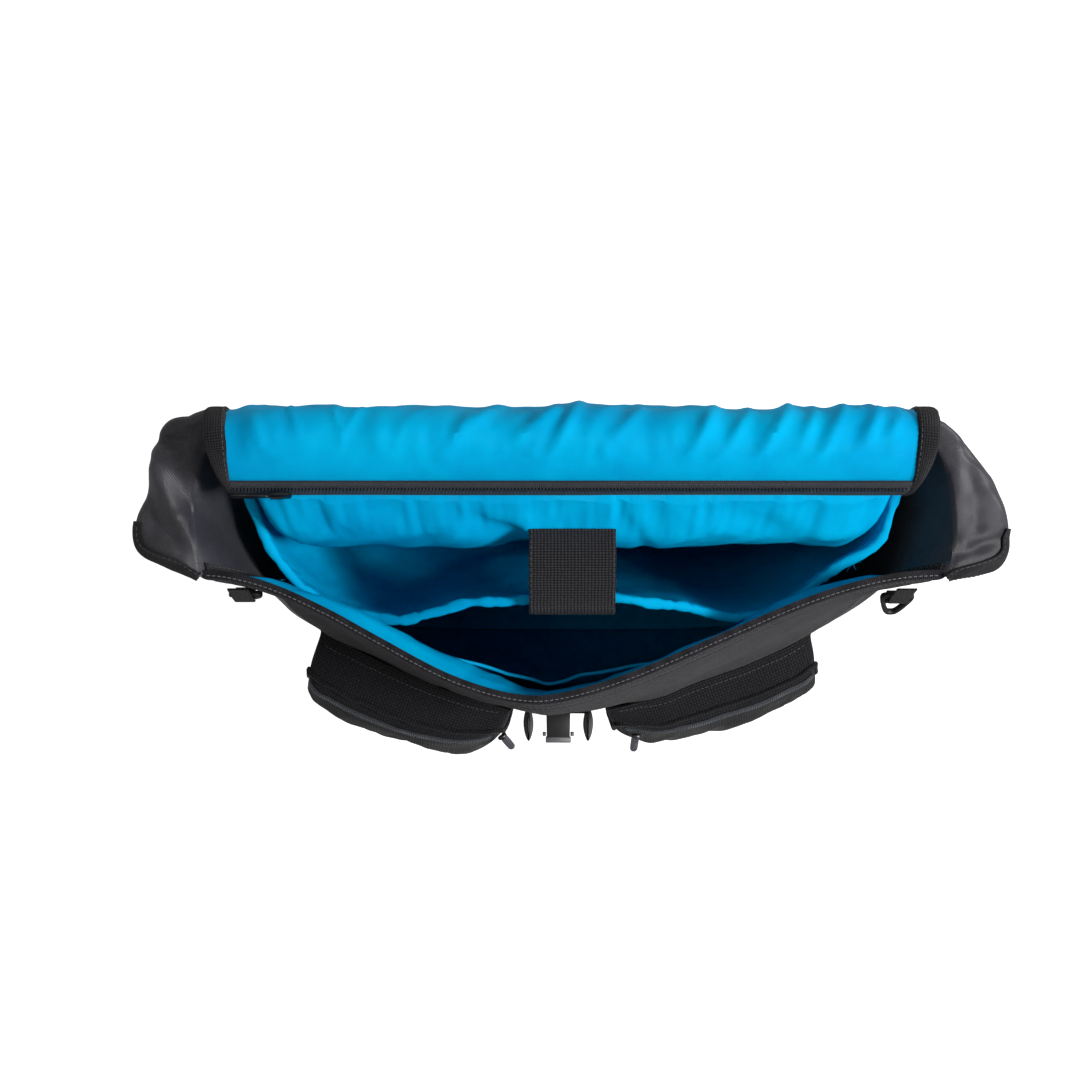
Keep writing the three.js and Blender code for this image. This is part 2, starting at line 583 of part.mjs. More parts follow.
// The lid's line from its hinge over the fold, as shares of its run backwards and of its rise
const LID_FOLD = [
  { back: 0, up: 0 },
  { back: 0.03, up: 0.4 },
  { back: 0.2, up: 0.8 },
  { back: 0.48, up: 1 },
  { back: 0.78, up: 0.83 },
  { back: 0.96, up: 0.3 },
  { back: 1, up: -0.35 },
];
// Its half width from hinge to free end
const LID_WIDTHS = [
  { along: 0, half: 0.94 },
  { along: 0.08, half: 0.965 },
  { along: 0.2, half: 1 },
  { along: 0.6, half: 0.99 },
  { along: 1, half: 0.96 },
];

const HINGE_Y = RIM_BACK - BACK_WALL / 2;
const LID_ROOT = BODY_HEIGHT + GAP;
const foldPoints = LID_FOLD.map((row) => new THREE.Vector3(
  0,
  lerp(HINGE_Y, LID_BEHIND, row.back),
  LID_ROOT + LID_HUMP * row.up,
));
const foldCurve = new THREE.CatmullRomCurve3(foldPoints, false, "centripetal");
const FOLD_LENGTH = foldCurve.getLength();

// A point of the lid's middle surface: x across it, along from 0 at the hinge to 1 at its end
function lidPoint(x, along) {
  const run = along * LID_LENGTH;
  if (run <= FOLD_LENGTH) {
    const p = foldCurve.getPointAt(run / FOLD_LENGTH);
    return new THREE.Vector3(x, p.y, p.z);
  }
  const end = foldPoints[foldPoints.length - 1];
  const fall = run - FOLD_LENGTH;
  return new THREE.Vector3(x, end.y - LID_LEAN * fall, end.z - fall);
}

// Square to the lid, on the side of its lining
function lidNormal(along) {
  const run = lidPoint(0, Math.min(along + 0.004, 1)).sub(lidPoint(0, Math.max(along - 0.004, 0)));
  return new THREE.Vector3(0, -run.z, run.y).normalize();
}

const ZIP_HALF = LID_ZIP_WIDTH / 2 / LID_LENGTH;
const TEETH_HALF = LID_TEETH_WIDTH / 2 / LID_LENGTH;
const LID_ZIP_ALONG = ZIP_HALF + 2 / LID_LENGTH;
const LID_ROWS = [
  0, LID_ZIP_ALONG - ZIP_HALF, LID_ZIP_ALONG - TEETH_HALF, LID_ZIP_ALONG + TEETH_HALF,
  LID_ZIP_ALONG + ZIP_HALF, 0.092, 0.118, 0.145, 0.17, 0.2, 0.24, 0.4, 0.62, 0.8,
];
const LID_CORNER_ANGLES = [0, 18, 36, 54, 72, 90];

// The lid's right edge from hinge to free end, drawn in by an inset. The corner is an arc.
function lidEdge(inset) {
  const straight = LID_ROWS.map((along) => ({
    x: LID_HALF_WIDTH * read(LID_WIDTHS, "along", "half", along) - inset,
    along,
    inward: new THREE.Vector2(-1, 0),
  }));
  const half = LID_HALF_WIDTH * LID_WIDTHS.at(-1).half;
  const corner = LID_CORNER_ANGLES.map((degrees) => {
    const angle = THREE.MathUtils.degToRad(degrees);
    const out = new THREE.Vector2(Math.cos(angle), Math.sin(angle));
    return {
      x: half - LID_CORNER + (LID_CORNER - inset) * out.x,
      along: 1 - (LID_CORNER - (LID_CORNER - inset) * out.y) / LID_LENGTH,
      inward: out.negate(),
    };
  });
  return [...straight, ...corner];
}

// The lining stands off from the outer cloth at the hinge and lies close to it past the fold
function liningLift(along) {
  return lerp(LINING_LIFT, GAP / 2, smooth(clamp(along / LINING_LIES, 0, 1)));
}

function lidSheet(inset, offsetAt, thickness, hand) {
  const shares = spread(-1, 1, 9);
  const layer = (extra) => lidEdge(inset).map(({ x, along }) => shares.map((share) => (
    lidPoint(share * x, along).addScaledVector(lidNormal(along), hand * (offsetAt(along) + extra))
  )));
  return slab(layer(0), layer(thickness));
}

// Both sheets stop short of the binding's fold
const LID_INSET = BAND_WALL + GAP;
const lidOuter = () => lidSheet(LID_INSET, () => GAP / 2, WOVEN_WALL, -1);
const lidLining = () => lidSheet(LID_INSET, liningLift, LINING_WALL, 1);

// The binding: a folded tape round both sides and the free end of the lid, over the edges of
// both sheets. Its section is a channel of inset and lift.
function lidBinding() {
  const outside = WOVEN_WALL + GAP * 1.5;
  const inside = LINING_WALL + GAP * 1.5;
  const channel = [
    [LID_BINDING, -outside], [BAND_WALL, -outside], [BAND_WALL, inside], [LID_BINDING, inside],
    [LID_BINDING, inside + BAND_WALL], [0, inside + BAND_WALL],
    [0, -outside - BAND_WALL], [LID_BINDING, -outside - BAND_WALL],
  ];
  const right = lidEdge(0).filter(({ along }) => along > BINDING_START);
  const end = right.at(-1);
  const middle = [0.6, 0.2].map((share) => ({ ...end, x: end.x * share }));
  const half = [...right, ...middle];
  const left = half.slice().reverse().map((e) => ({
    ...e, x: -e.x, inward: new THREE.Vector2(-e.inward.x, e.inward.y),
  }));
  const rings = [...half, ...left].map(({ x, along, inward }) => channel.map(([inset, lift]) => {
    const at = along + (inward.y * inset) / LID_LENGTH;
    const extra = lift > 0 ? liningLift(at) - GAP / 2 : 0;
    return lidPoint(x + inward.x * inset, at).addScaledVector(lidNormal(at), lift + extra);
  }));
  return tube(rings);
}

// A closed solid through rings of points, capped at both ends
function tube(rings) {
  const size = rings[0].length;
  const points = rings.flat();
  const faces = [];
  for (let i = 0; i < rings.length - 1; i += 1) {
    for (let j = 0; j < size; j += 1) {
      const k = (j + 1) % size;
      const [a, b] = [i * size + j, i * size + k];
      const [c, d] = [(i + 1) * size + k, (i + 1) * size + j];
      faces.push(a, b, c, a, c, d);
    }
  }
  const cap = (ring, start, isFirst) => {
    const basis = ringPlane(ring);
    const contour = ring.map((p) => new THREE.Vector2(p.dot(basis.u), p.dot(basis.v)));
    THREE.ShapeUtils.triangulateShape(contour, []).forEach(([a, b, c]) => {
      const order = isFirst ? [c, b, a] : [a, b, c];
      faces.push(...order.map((k) => start + k));
    });
  };
  cap(rings[0], 0, true);
  cap(rings.at(-1), (rings.length - 1) * size, false);
  return facingOut(points, faces);
}

function ringPlane(ring) {
  const n = new THREE.Vector3();
  ring.forEach((p, i) => n.add(p.clone().cross(ring[(i + 1) % ring.length])));
  n.normalize();
  const helper = Math.abs(n.z) < 0.9 ? new THREE.Vector3(0, 0, 1) : new THREE.Vector3(1, 0, 0);
  const u = helper.cross(n).normalize();
  return { u, v: n.clone().cross(u) };
}

// A strip across the lid's lining
function lidStrip(alongs, halfLength, lift, thickness) {
  const shares = spread(-1, 1, 9);
  const layer = (extra) => alongs.map((along) => shares.map((share) => lidPoint(share * halfLength, along)
    .addScaledVector(lidNormal(along), liningLift(along) + LINING_WALL + lift + extra)));
  return slab(layer(0), layer(thickness));
}

const lidZipTape = () => lidStrip(
  within(LID_ROWS, LID_ZIP_ALONG - ZIP_HALF, LID_ZIP_ALONG + ZIP_HALF),
  LID_ZIP_HALF_LENGTH,
  GAP,
  ZIP_TAPE,
);
const lidZipTeeth = () => lidStrip(
  within(LID_ROWS, LID_ZIP_ALONG - TEETH_HALF, LID_ZIP_ALONG + TEETH_HALF),
  LID_ZIP_HALF_LENGTH - 6,
  2 * GAP + ZIP_TAPE,
  ZIP_TEETH,
);

// A zip slider with its pull lying along the zip
function lidZipSlider() {
  const body = [[-6, -4], [6, -5], [8, 0], [6, 5], [-6, 4]];
  const pull = [[-24, -3], [-8, -2.2], [-8, 2.2], [-24, 3]];
  const outline = new THREE.Shape([
    ...body, pull[2], pull[3], pull[0], pull[1],
  ].map(([x, y]) => new THREE.Vector2(x, y)));
  const solid = new THREE.ExtrudeGeometry(outline, { depth: SLIDER_THICKNESS, bevelEnabled: false });
  const n = lidNormal(LID_ZIP_ALONG);
  const lift = liningLift(LID_ZIP_ALONG) + LINING_WALL + 3 * GAP + ZIP_TAPE + ZIP_TEETH + 0.5;
  const at = lidPoint(SLIDER_FROM_END - LID_ZIP_HALF_LENGTH, LID_ZIP_ALONG).addScaledVector(n, lift);
  const turned = new THREE.Quaternion().setFromUnitVectors(new THREE.Vector3(0, 0, 1), n);
  return solid.applyQuaternion(turned).translate(at.x, at.y, at.z);
}

// How far each outer pocket stands off the panel, from its inner end to its outer end
const POCKET_ACROSS = [
  { at: 0, out: 0 }, { at: 0.02, out: 0.3 }, { at: 0.06, out: 0.5 }, { at: 0.14, out: 0.68 },
  { at: 0.26, out: 0.83 }, { at: 0.4, out: 0.92 }, { at: 0.55, out: 0.98 }, { at: 0.7, out: 1 },
  { at: 0.83, out: 1 }, { at: 0.92, out: 0.95 }, { at: 0.965, out: 0.78 }, { at: 0.988, out: 0.42 },
  { at: 1, out: 0 },
];
// and from its top edge down to its foot
const POCKET_DOWN = [
  { at: 0, out: 0 }, { at: 0.018, out: 0.5 }, { at: 0.04, out: 0.84 }, { at: 0.08, out: 0.97 },
  { at: 0.2, out: 1.02 }, { at: 0.42, out: 1.04 }, { at: 0.65, out: 1 }, { at: 0.84, out: 0.88 },
  { at: 0.94, out: 0.68 }, { at: 0.982, out: 0.36 }, { at: 1, out: 0 },
];

// Where on the body a place of a pocket lies
function pocketPlace(side, a, b) {
  const q = side * lerp(POCKET_INNER, POCKET_OUTERS[handOf(side)], a);
  return [q, (POCKET_TOP - POCKET_HEIGHT * b) / BODY_HEIGHT];
}

// A point of a pocket's outside: a from its inner end to its outer end, b from top to foot
function pocketPoint(side, a, b) {
  const [q, v] = pocketPlace(side, a, b);
  const bulge = read(POCKET_ACROSS, "at", "out", a) * read(POCKET_DOWN, "at", "out", b);
  const out = POCKET_SEAT + POCKET_DEPTHS[handOf(side)] * bulge;
  return bodyPoint(q, v).addScaledVector(flat(bodyNormal(q, v)), out);
}

function pocketNormal(side, a, b) {
  const step = 0.012;
  const [a0, a1] = [Math.max(a - step, 0), Math.min(a + step, 1)];
  const [b0, b1] = [Math.max(b - step, 0), Math.min(b + step, 1)];
  const across = pocketPoint(side, a1, b).sub(pocketPoint(side, a0, b));
  const down = pocketPoint(side, a, b1).sub(pocketPoint(side, a, b0));
  const n = down.cross(across).multiplyScalar(side);
  const edge = a === 0 || a === 1 || b === 0 || b === 1;
  if (!edge) return n.normalize();
  const away = bodyNormal(...pocketPlace(side, a, b));
  return n.addScaledVector(away, -n.dot(away)).normalize();
}

function pocketPatch(side, as, bs, offset, thickness) {
  const layer = (depth) => bs.map((b) => as.map((a) => pocketPoint(side, a, b)
    .addScaledVector(pocketNormal(side, a, b), depth)));
  return slab(layer(offset), layer(offset - thickness));
}

function pocket(side) {
  const as = POCKET_ACROSS.map((row) => row.at);
  const bs = POCKET_DOWN.map((row) => row.at);
  return pocketPatch(side, as, bs, 0, WOVEN_WALL);
}

const POCKET_ZIP_AT = POCKET_ZIP_BELOW / POCKET_HEIGHT;
function pocketZip(side) {
  const half = POCKET_ZIP_WIDTH / 2 / POCKET_HEIGHT;
  const bs = spread(POCKET_ZIP_AT - half, POCKET_ZIP_AT + half, 4);
  return pocketPatch(side, spread(0.07, 0.94, 17), bs, GAP + ZIP_TEETH, ZIP_TEETH);
}

// A pull that hangs over the zip's inner end, level with the teeth's outermost corner there
function pocketPull(side) {
  const { width, depth, height } = POCKET_PULL;
  const at = pocketPoint(side, POCKET_PULL_AT, POCKET_ZIP_AT);
  const n = flat(pocketNormal(side, POCKET_PULL_AT, POCKET_ZIP_AT));
  const length = pocketPoint(side, 1, 1).distanceTo(pocketPoint(side, 0, 1));
  const reach = width / 2 / length;
  const half = POCKET_ZIP_WIDTH / 2 / POCKET_HEIGHT;
  const corners = [-reach, 0, reach].flatMap((da) => [-half, half].map((db) => {
    const [a, b] = [POCKET_PULL_AT + da, POCKET_ZIP_AT + db];
    return pocketPoint(side, a, b).addScaledVector(pocketNormal(side, a, b), GAP + ZIP_TEETH);
  }));
  const outermost = Math.max(...corners.map((p) => p.sub(at).dot(n)));
  const pull = new THREE.BoxGeometry(width, depth, height);
  pull.rotateZ(Math.atan2(n.y, n.x) + Math.PI / 2);
  const lift = outermost + GAP + depth / 2;
  return pull.translate(at.x + n.x * lift, at.y + n.y * lift, at.z - 2);
}

// Triangular moulded loop, flat, its bar along X and its tip towards -Y
function ringOutline() {
  const half = RING_WIDTH / 2;
  const corner = -0.25 * RING_LENGTH;
  const outline = new THREE.Shape();
  outline.moveTo(-half, 0);
  outline.lineTo(half, 0);
  outline.lineTo(half, corner);
  outline.lineTo(RING_TIP, -RING_LENGTH + 1.5);
  outline.quadraticCurveTo(0, -RING_LENGTH - 0.5, -RING_TIP, -RING_LENGTH + 1.5);
  outline.lineTo(-half, corner);
  outline.closePath();
  const slotFar = -RING_BAR - RING_SLOT;
  const slotHalf = half - RING_BAR;
  // A hole as wide on both sides of the middle at its near and its far end
  const hole = ([nearHalf, near], [farHalf, far]) => new THREE.Path([
    new THREE.Vector2(-nearHalf, near), new THREE.Vector2(-farHalf, far),
    new THREE.Vector2(farHalf, far), new THREE.Vector2(nearHalf, near),
  ]);
  const slot = hole([slotHalf, -RING_BAR], [slotHalf, slotFar]);
  const eye = hole([RING_TIP, slotFar - RING_BAR], [RING_TIP / 2, -0.8 * RING_LENGTH]);
  outline.holes.push(slot, eye);
  return outline;
}

// Each ring hangs in front of its front seam, below the rim
function ringAt(side) {
  const above = bodyPoint(side, RING_TAB_TOP / BODY_HEIGHT);
  return new THREE.Vector3(above.x + side * RING_OFF_SEAM, above.y - RING_FORWARD, RING_HEIGHT);
}

function ring(side, tilt) {
  const solid = new THREE.ExtrudeGeometry(ringOutline(), {
    depth: RING_THICKNESS, bevelEnabled: false, curveSegments: 3,
  });
  solid.translate(0, 0, -RING_THICKNESS / 2).rotateX(THREE.MathUtils.degToRad(tilt));
  const at = ringAt(side);
  return solid.translate(at.x, at.y, at.z);
}

// A webbing tab from the seam down through the ring's slot
function ringTab(side, tilt) {
  const at = ringAt(side);
  const above = bodyPoint(side * 0.99, RING_TAB_TOP / BODY_HEIGHT);
  const angle = THREE.MathUtils.degToRad(tilt);
  const down = RING_BAR + GAP + RING_WEB / 2; // the tab pulls on the bar
  const slot = new THREE.Vector2(at.y - down * Math.cos(angle), at.z - down * Math.sin(angle));
  const through = new THREE.Vector2(Math.sin(angle), -Math.cos(angle));
  const before = slot.clone().addScaledVector(through, -RING_THICKNESS / 2 - 2);
  const after = slot.clone().addScaledVector(through, RING_THICKNESS / 2 + 2);
  const bar = new THREE.Vector2(at.y - 3.2, at.z + 2.5);
  const path = [new THREE.Vector2(above.y - 2.4, RING_TAB_TOP), bar, before, slot, after];
  return strap(path, at.x, RING_WIDTH - RING_TAB_IN, RING_WEB);
}

// Woven band over the collar's front corner, and the tape over the seam inside
function cornerBand(side) {
  const across = within(GUSSET_COLUMNS, ...BAND_ACROSS).map((t) => side * t);
  const up = within(COLLAR_ROWS, ...BAND_RANGE);
  return wall(gussetPoint, gussetNormal, across, up, GAP + BAND_WALL, BAND_WALL, [false, false]);
}

function seamTape(side) {
  const across = within(GUSSET_COLUMNS, ...TAPE_ACROSS).map((t) => side * t);
  const up = within(BODY_ROWS, ...TAPE_RANGE);
  return wall(gussetPoint, gussetNormal, across, up, -GUSSET_WALL - GAP, BAND_WALL, [false, false]);
}

// Male half of a side-release buckle, seen from above, its arms towards -Y
function buckleOutline() {
  const half = BUCKLE_WIDTH / 2;
  const root = -0.42 * BUCKLE_LENGTH; // where the arms leave the body
  const tip = -BUCKLE_LENGTH;
  const neck = 3.2;
  const leaf = 8;
  const stem = 9;
  const right = [
    [half - 2, 0], [half - 2, root],
    [half - 4, root - 3], [half - 3.5, root - 6], [half, root - 9],
    [half - 1, tip + 5], [half - leaf / 2, tip], [half - leaf, tip + 5],
    [half - leaf + 1, root - 7], [half - 4 - neck, root - 3], [half - 5 - neck, root],
    [stem, root], [stem - 1, tip + 3], [stem - 3, tip + 1],
  ];
  const left = right.map(([x, y]) => [-x, y]).reverse();
  const outline = new THREE.Shape([...right, ...left].map(([x, y]) => new THREE.Vector2(x, y)));
  const slotHalf = BUCKLE_WEBBING / 2 + 0.6;
  const slot = (near, far) => new THREE.Path([
    [-slotHalf, -near], [-slotHalf, -far], [slotHalf, -far], [slotHalf, -near],
  ].map(([x, y]) => new THREE.Vector2(x, y)));
  outline.holes.push(slot(...BUCKLE_SLOT));
  return outline;
}

function buckle() {
  const solid = new THREE.ExtrudeGeometry(buckleOutline(), { depth: BUCKLE_THICKNESS, bevelEnabled: false });
  return solid.translate(-BUCKLE_LEFT, BUCKLE_LENGTH - BUCKLE_TIP, BUCKLE_HEIGHT);
}

// The buckle's webbing tab, down the front panel and through the slot of the buckle
function buckleTab() {
  const panelY = (z) => {
    const s = section(z / BODY_HEIGHT);
    const q = (-BUCKLE_LEFT - s.centre) / (s.seamOut - s.centre);
    return bodyPoint(q, z / BODY_HEIGHT).y - 3 * GAP - WEBBING / 2;
  };
  const slotY = BUCKLE_LENGTH - BUCKLE_TIP - (BUCKLE_SLOT[0] + BUCKLE_SLOT[1]) / 2;
  const bend = BUCKLE_HEIGHT + BUCKLE_THICKNESS + BUCKLE_HANG;
  const onPanel = spread(bend + BUCKLE_TAB, bend, 6).map((z) => new THREE.Vector3(panelY(z), z, 0));
  const path = new THREE.CatmullRomCurve3([
    ...onPanel,
    new THREE.Vector3(slotY, BUCKLE_HEIGHT + BUCKLE_THICKNESS + 2, 0),
    new THREE.Vector3(slotY, BUCKLE_HEIGHT - 3, 0),
  ], false, "centripetal");
  const points = path.getSpacedPoints(16).map((p) => new THREE.Vector2(p.x, p.y));
  return strap(points, -BUCKLE_LEFT, BUCKLE_WEBBING, WEBBING);
}

// A geometry as a solid, and several solids joined into one geometry
function solidOf(geometry) {
  geometry.deleteAttribute("normal");
  geometry.deleteAttribute("uv");
  const whole = mergeVertices(geometry, 1e-4);
  return new wasm.Manifold(new wasm.Mesh({
    numProp: 3,
    vertProperties: new Float32Array(whole.attributes.position.array),
    triVerts: new Uint32Array(whole.index.array),
  }));
}

function joined(geometries) {
  const mesh = geometries.map(solidOf).reduce((sum, next) => sum.add(next)).getMesh();
  const geometry = new THREE.BufferGeometry();
  geometry.setAttribute("position", new THREE.BufferAttribute(mesh.vertProperties, 3));
  geometry.setIndex(new THREE.BufferAttribute(mesh.triVerts, 1));
  geometry.computeVertexNormals();
  return geometry;
}

// A profile in the plane of depth and height, extruded across the bag
function acrossBag(profile, width, centreX) {
  const outline = new THREE.Shape(profile.map(([y, z]) => new THREE.Vector2(y, z)));
  const solid = new THREE.ExtrudeGeometry(outline, { depth: width, bevelEnabled: false });
  solid.rotateY(Math.PI / 2).rotateX(Math.PI / 2);
  return solid.translate(centreX - width / 2, 0, 0);
}

// Rail across the back panel with two hooks that hang over a carrier's tube
function rackRail() {
  const top = RAIL_CENTRE_HEIGHT + RAIL_HEIGHT / 2;
  const foot = top - RAIL_HEIGHT;
  const reach = 3 - RAIL_LENGTH / 2 / section(top / BODY_HEIGHT).backSeamOut;
  const near = bodyPoint(reach, top / BODY_HEIGHT).y + 2 * GAP;
  const far = near + RAIL_THICKNESS;
  const tip = top - HOOK_DEPTH;
  const rail = acrossBag([[near, foot], [far, foot], [far, top], [near, top]], RAIL_LENGTH, 0);
  const hooks = [-1, 1].map((side) => acrossBag([
    [far - 1, top - HOOK_WALL], [far + HOOK_MOUTH, top - HOOK_WALL], [far + HOOK_MOUTH, tip],
    [far + HOOK_MOUTH + HOOK_WALL, tip], [far + HOOK_MOUTH + HOOK_WALL, top], [far - 1, top],
  ], HOOK_WIDTH, (side * HOOK_SPACING) / 2));
  return joined([rail, ...hooks]);
}

// The female half of the buckle, on its webbing on the lid's outer face
const SOCKET_LIFT = WOVEN_WALL + GAP * 1.5;
function socketWeb() {
  const from = SOCKET_ALONG - SOCKET_WEB / LID_LENGTH;
  const shares = spread(-1, 1, 3);
  const layer = (extra) => spread(from, SOCKET_ALONG, 3).map((along) => shares.map((share) => lidPoint(
    (share * BUCKLE_WEBBING) / 2,
    along,
  ).addScaledVector(lidNormal(along), -SOCKET_LIFT - extra)));
  return slab(layer(0), layer(WEBBING));
}

function buckleSocket() {
  const at = lidPoint(0, SOCKET_ALONG);
  const solid = new THREE.BoxGeometry(SOCKET_WIDTH, SOCKET_THICKNESS, SOCKET_HEIGHT);
  const lift = SOCKET_LIFT + WEBBING + 2 * GAP + SOCKET_THICKNESS / 2;
  return solid.translate(0, at.y - lift, at.z);
}

const group = new THREE.Group();

function add(name, geometry, finish) {
  const mesh = new THREE.Mesh(geometry, new THREE.MeshStandardMaterial(finish));
  mesh.name = name;
  group.add(mesh);
}

const SIDES = [["left", -1], ["right", 1]];

add("base_panel", floorPlate([0, 0], 0, BASE_WALL), TAPE);
add("back_panel", backPanel(), CHARCOAL);
add("front_panel", frontPanel(), CHARCOAL);
add("base_lining", floorPlate(LINING_INSETS, BASE_WALL + GAP, LINING_WALL), BLUE);
add("front_lining", frontLining(), BLUE);
add("sleeve_back", sleeveBack(), BLUE);
add("sleeve_divider", sleeveDivider(), BLUE);
add("laptop_strap", laptopStrap(), TAPE);
add("slip_pocket", slipPocket(), BLUE);
add("lid_outer", lidOuter(), CHARCOAL);
add("lid_lining", lidLining(), BLUE);
add("lid_binding", lidBinding(), TAPE);
add("lid_zip_tape", lidZipTape(), ZIP);
add("lid_zip_teeth", lidZipTeeth(), PLASTIC);
add("lid_zip_slider", lidZipSlider(), METAL);
add("buckle_tab", buckleTab(), TAPE);
add("buckle", buckle(), PLASTIC);
add("socket_web", socketWeb(), TAPE);
add("buckle_socket", buckleSocket(), PLASTIC);
add("rack_rail", rackRail(), METAL);
for (const [hand, side] of SIDES) {
  add(`gusset_${hand}`, gusset(side), COATED);
  add(`corner_band_${hand}`, cornerBand(side), CHARCOAL);
  add(`seam_tape_${hand}`, seamTape(side), TAPE);
  add(`pocket_${hand}`, pocket(side), CHARCOAL);
  add(`pocket_zip_${hand}`, pocketZip(side), ZIP);
  add(`pocket_pull_${hand}`, pocketPull(side), METAL);
  add(`side_ring_${hand}`, ring(side, RING_TILTS[hand]), PLASTIC);
  add(`ring_tab_${hand}`, ringTab(side, RING_TILTS[hand]), TAPE);
}

export default group;
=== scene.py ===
"""Laptop pannier bag that stands open on its base, its lid thrown back, seen from above.

Lengths in the classes are millimetres in the frame's own axes: +X the bag's right as seen from
its front, -Y its front, +Z up, the origin under the middle of its base. Meshes are in metres.
"""

from __future__ import annotations

import logging
from collections.abc import Sequence
from dataclasses import dataclass, field
from enum import Enum

import bpy
import numpy as np
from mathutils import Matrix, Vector


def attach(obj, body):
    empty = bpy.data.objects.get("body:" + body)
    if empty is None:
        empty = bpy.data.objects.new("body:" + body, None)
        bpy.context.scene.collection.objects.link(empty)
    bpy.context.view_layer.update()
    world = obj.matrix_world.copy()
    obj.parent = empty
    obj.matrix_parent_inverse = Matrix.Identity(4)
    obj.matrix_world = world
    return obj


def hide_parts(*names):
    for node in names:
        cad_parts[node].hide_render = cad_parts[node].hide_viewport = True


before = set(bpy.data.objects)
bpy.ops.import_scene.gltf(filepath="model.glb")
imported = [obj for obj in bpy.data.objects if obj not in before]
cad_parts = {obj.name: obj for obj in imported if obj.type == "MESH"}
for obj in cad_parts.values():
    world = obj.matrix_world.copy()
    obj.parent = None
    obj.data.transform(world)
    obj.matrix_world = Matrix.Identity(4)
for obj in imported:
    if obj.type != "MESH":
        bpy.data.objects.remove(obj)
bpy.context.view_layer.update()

Array = np.ndarray
Outline = Sequence[tuple[float, float]] | Array

X, Y, Z = np.eye(3)
MM = 0.001
GAP = 0.3
LOG = logging.getLogger("pannier")


# ---------------- numbers and curves


def lerp(a: float | Array, b: float | Array, t: float | Array) -> Array:
    """Straight mix: a + (b - a) t."""
    return a + (b - a) * t


def smooth(u: float | Array) -> Array:
    """Smooth step on 0 to 1: 3 u^2 - 2 u^3."""
    return u * u * (3 - 2 * u)


def ramp(low: float, high: float, x: float | Array) -> Array:
    """Smooth step from 0 at low to 1 at high."""
    return smooth(np.clip((x - low) / (high - low), 0, 1))


def bell(x: float | Array, centre: float, width: float) -> Array:
    """Bell curve: exp(-((x - centre) / width)^2)."""
    return np.exp(-(((x - centre) / width) ** 2))


def unit(v: Array) -> Array:
    """Vectors scaled to length 1 along the last axis."""
    return v / np.maximum(np.linalg.norm(v, axis=-1, keepdims=True), 1e-12)


def level(v: Array) -> Array:
    """Vectors laid level, with no Z part, and scaled to length 1."""
    return unit(v * np.array([1.0, 1.0, 0.0]))


def paired(a: float | Array, b: float | Array) -> list[Array]:
    """Two arrays of numbers, broadcast to one shape."""
    return np.broadcast_arrays(np.asarray(a, float), np.asarray(b, float))


def stack(x: Array, y: Array, z: Array) -> Array:
    """Points from three arrays of coordinates, broadcast to one shape."""
    return np.stack(np.broadcast_arrays(x, y, z), axis=-1).astype(float)


class Curve:
    """A smooth curve through rows of (place, value).

    Between two rows it is a cubic whose slope at each row is the mean of its neighbours' slopes.
    """

    def __init__(self, *rows: tuple[float, float]) -> None:
        self.x, self.y = np.array(rows, float).T

    def __call__(self, at: float | Array) -> Array:
        """Value of the curve at a place or at an array of places."""
        x, y = self.x, self.y
        last = len(x) - 1
        i = np.clip(np.searchsorted(x, at, side="left") - 1, 0, last - 1)
        slopes = np.diff(y) / np.diff(x)
        here = slopes[i]
        start = np.where(i > 0, (slopes[np.maximum(i - 1, 0)] + here) / 2, here)
        end = np.where(i < last - 1, (slopes[np.minimum(i + 1, last - 1)] + here) / 2, here)
        width = x[i + 1] - x[i]
        u = np.clip((at - x[i]) / width, 0, 1)
        bend = u * (1 - u) * width
        return lerp(y[i], y[i + 1], smooth(u)) + bend * ((1 - u) * start - u * end)


class Noise:
    """Smooth seeded noise from -1 to 1 on a wrapped lattice, blended by 6 u^5 - 15 u^4 + 10 u^3."""

    SIZE = 256

    def __init__(self, seed: int) -> None:
        self.lattice = np.random.default_rng(seed).uniform(-1, 1, (self.SIZE, self.SIZE))

    def __call__(self, x: Array, y: Array) -> Array:
        """Noise at places whose unit is one lattice cell."""
        x, y = paired(x, y)
        i, j = np.floor(x).astype(int), np.floor(y).astype(int)
        u, v = x - i, y - j
        u, v = (t**3 * (t * (6 * t - 15) + 10) for t in (u, v))
        near, far = i % self.SIZE, (i + 1) % self.SIZE
        low, high = j % self.SIZE, (j + 1) % self.SIZE
        grid = self.lattice
        return lerp(
            lerp(grid[near, low], grid[far, low], u),
            lerp(grid[near, high], grid[far, high], u),
            v,
        )

    def layered(self, x: Array, y: Array, layers: int = 3, gain: float = 0.5) -> Array:
        """Layers of noise, each at twice the last one's rate and a share of its height."""
        total = np.zeros(np.broadcast(x, y).shape)
        for k in range(layers):
            total = total + gain**k * self(x * 2**k + 17.3 * k, y * 2**k + 9.1 * k)
        return total

    def creases(self, x: Array, y: Array, round_off: float = 0.12, layers: int = 2) -> Array:
        """Cloth creases: narrow ridges from 0 to about 1 where layered noise crosses zero."""
        n = self.layered(x, y, layers)
        return 1 - np.sqrt(n * n + round_off**2) / np.sqrt(1 + round_off**2) * 1.6


def paced(*spans: tuple[float, float, int]) -> Array:
    """Even steps through several spans, each given by its start, end and count."""
    return np.concatenate([np.linspace(*span) for span in spans])


def arc_length(points: Array) -> Array:
    """Running length along each row of points, from 0."""
    steps = np.linalg.norm(np.diff(points, axis=-2), axis=-1)
    start = np.zeros((*steps.shape[:-1], 1))
    return np.concatenate([start, np.cumsum(steps, axis=-1)], axis=-1)


def picked(values: Array, places: Array, at: Array) -> Array:
    """Rows of values at new places, straight between the places where they are known."""
    return np.stack([np.interp(at, places, column) for column in values.T], axis=-1)


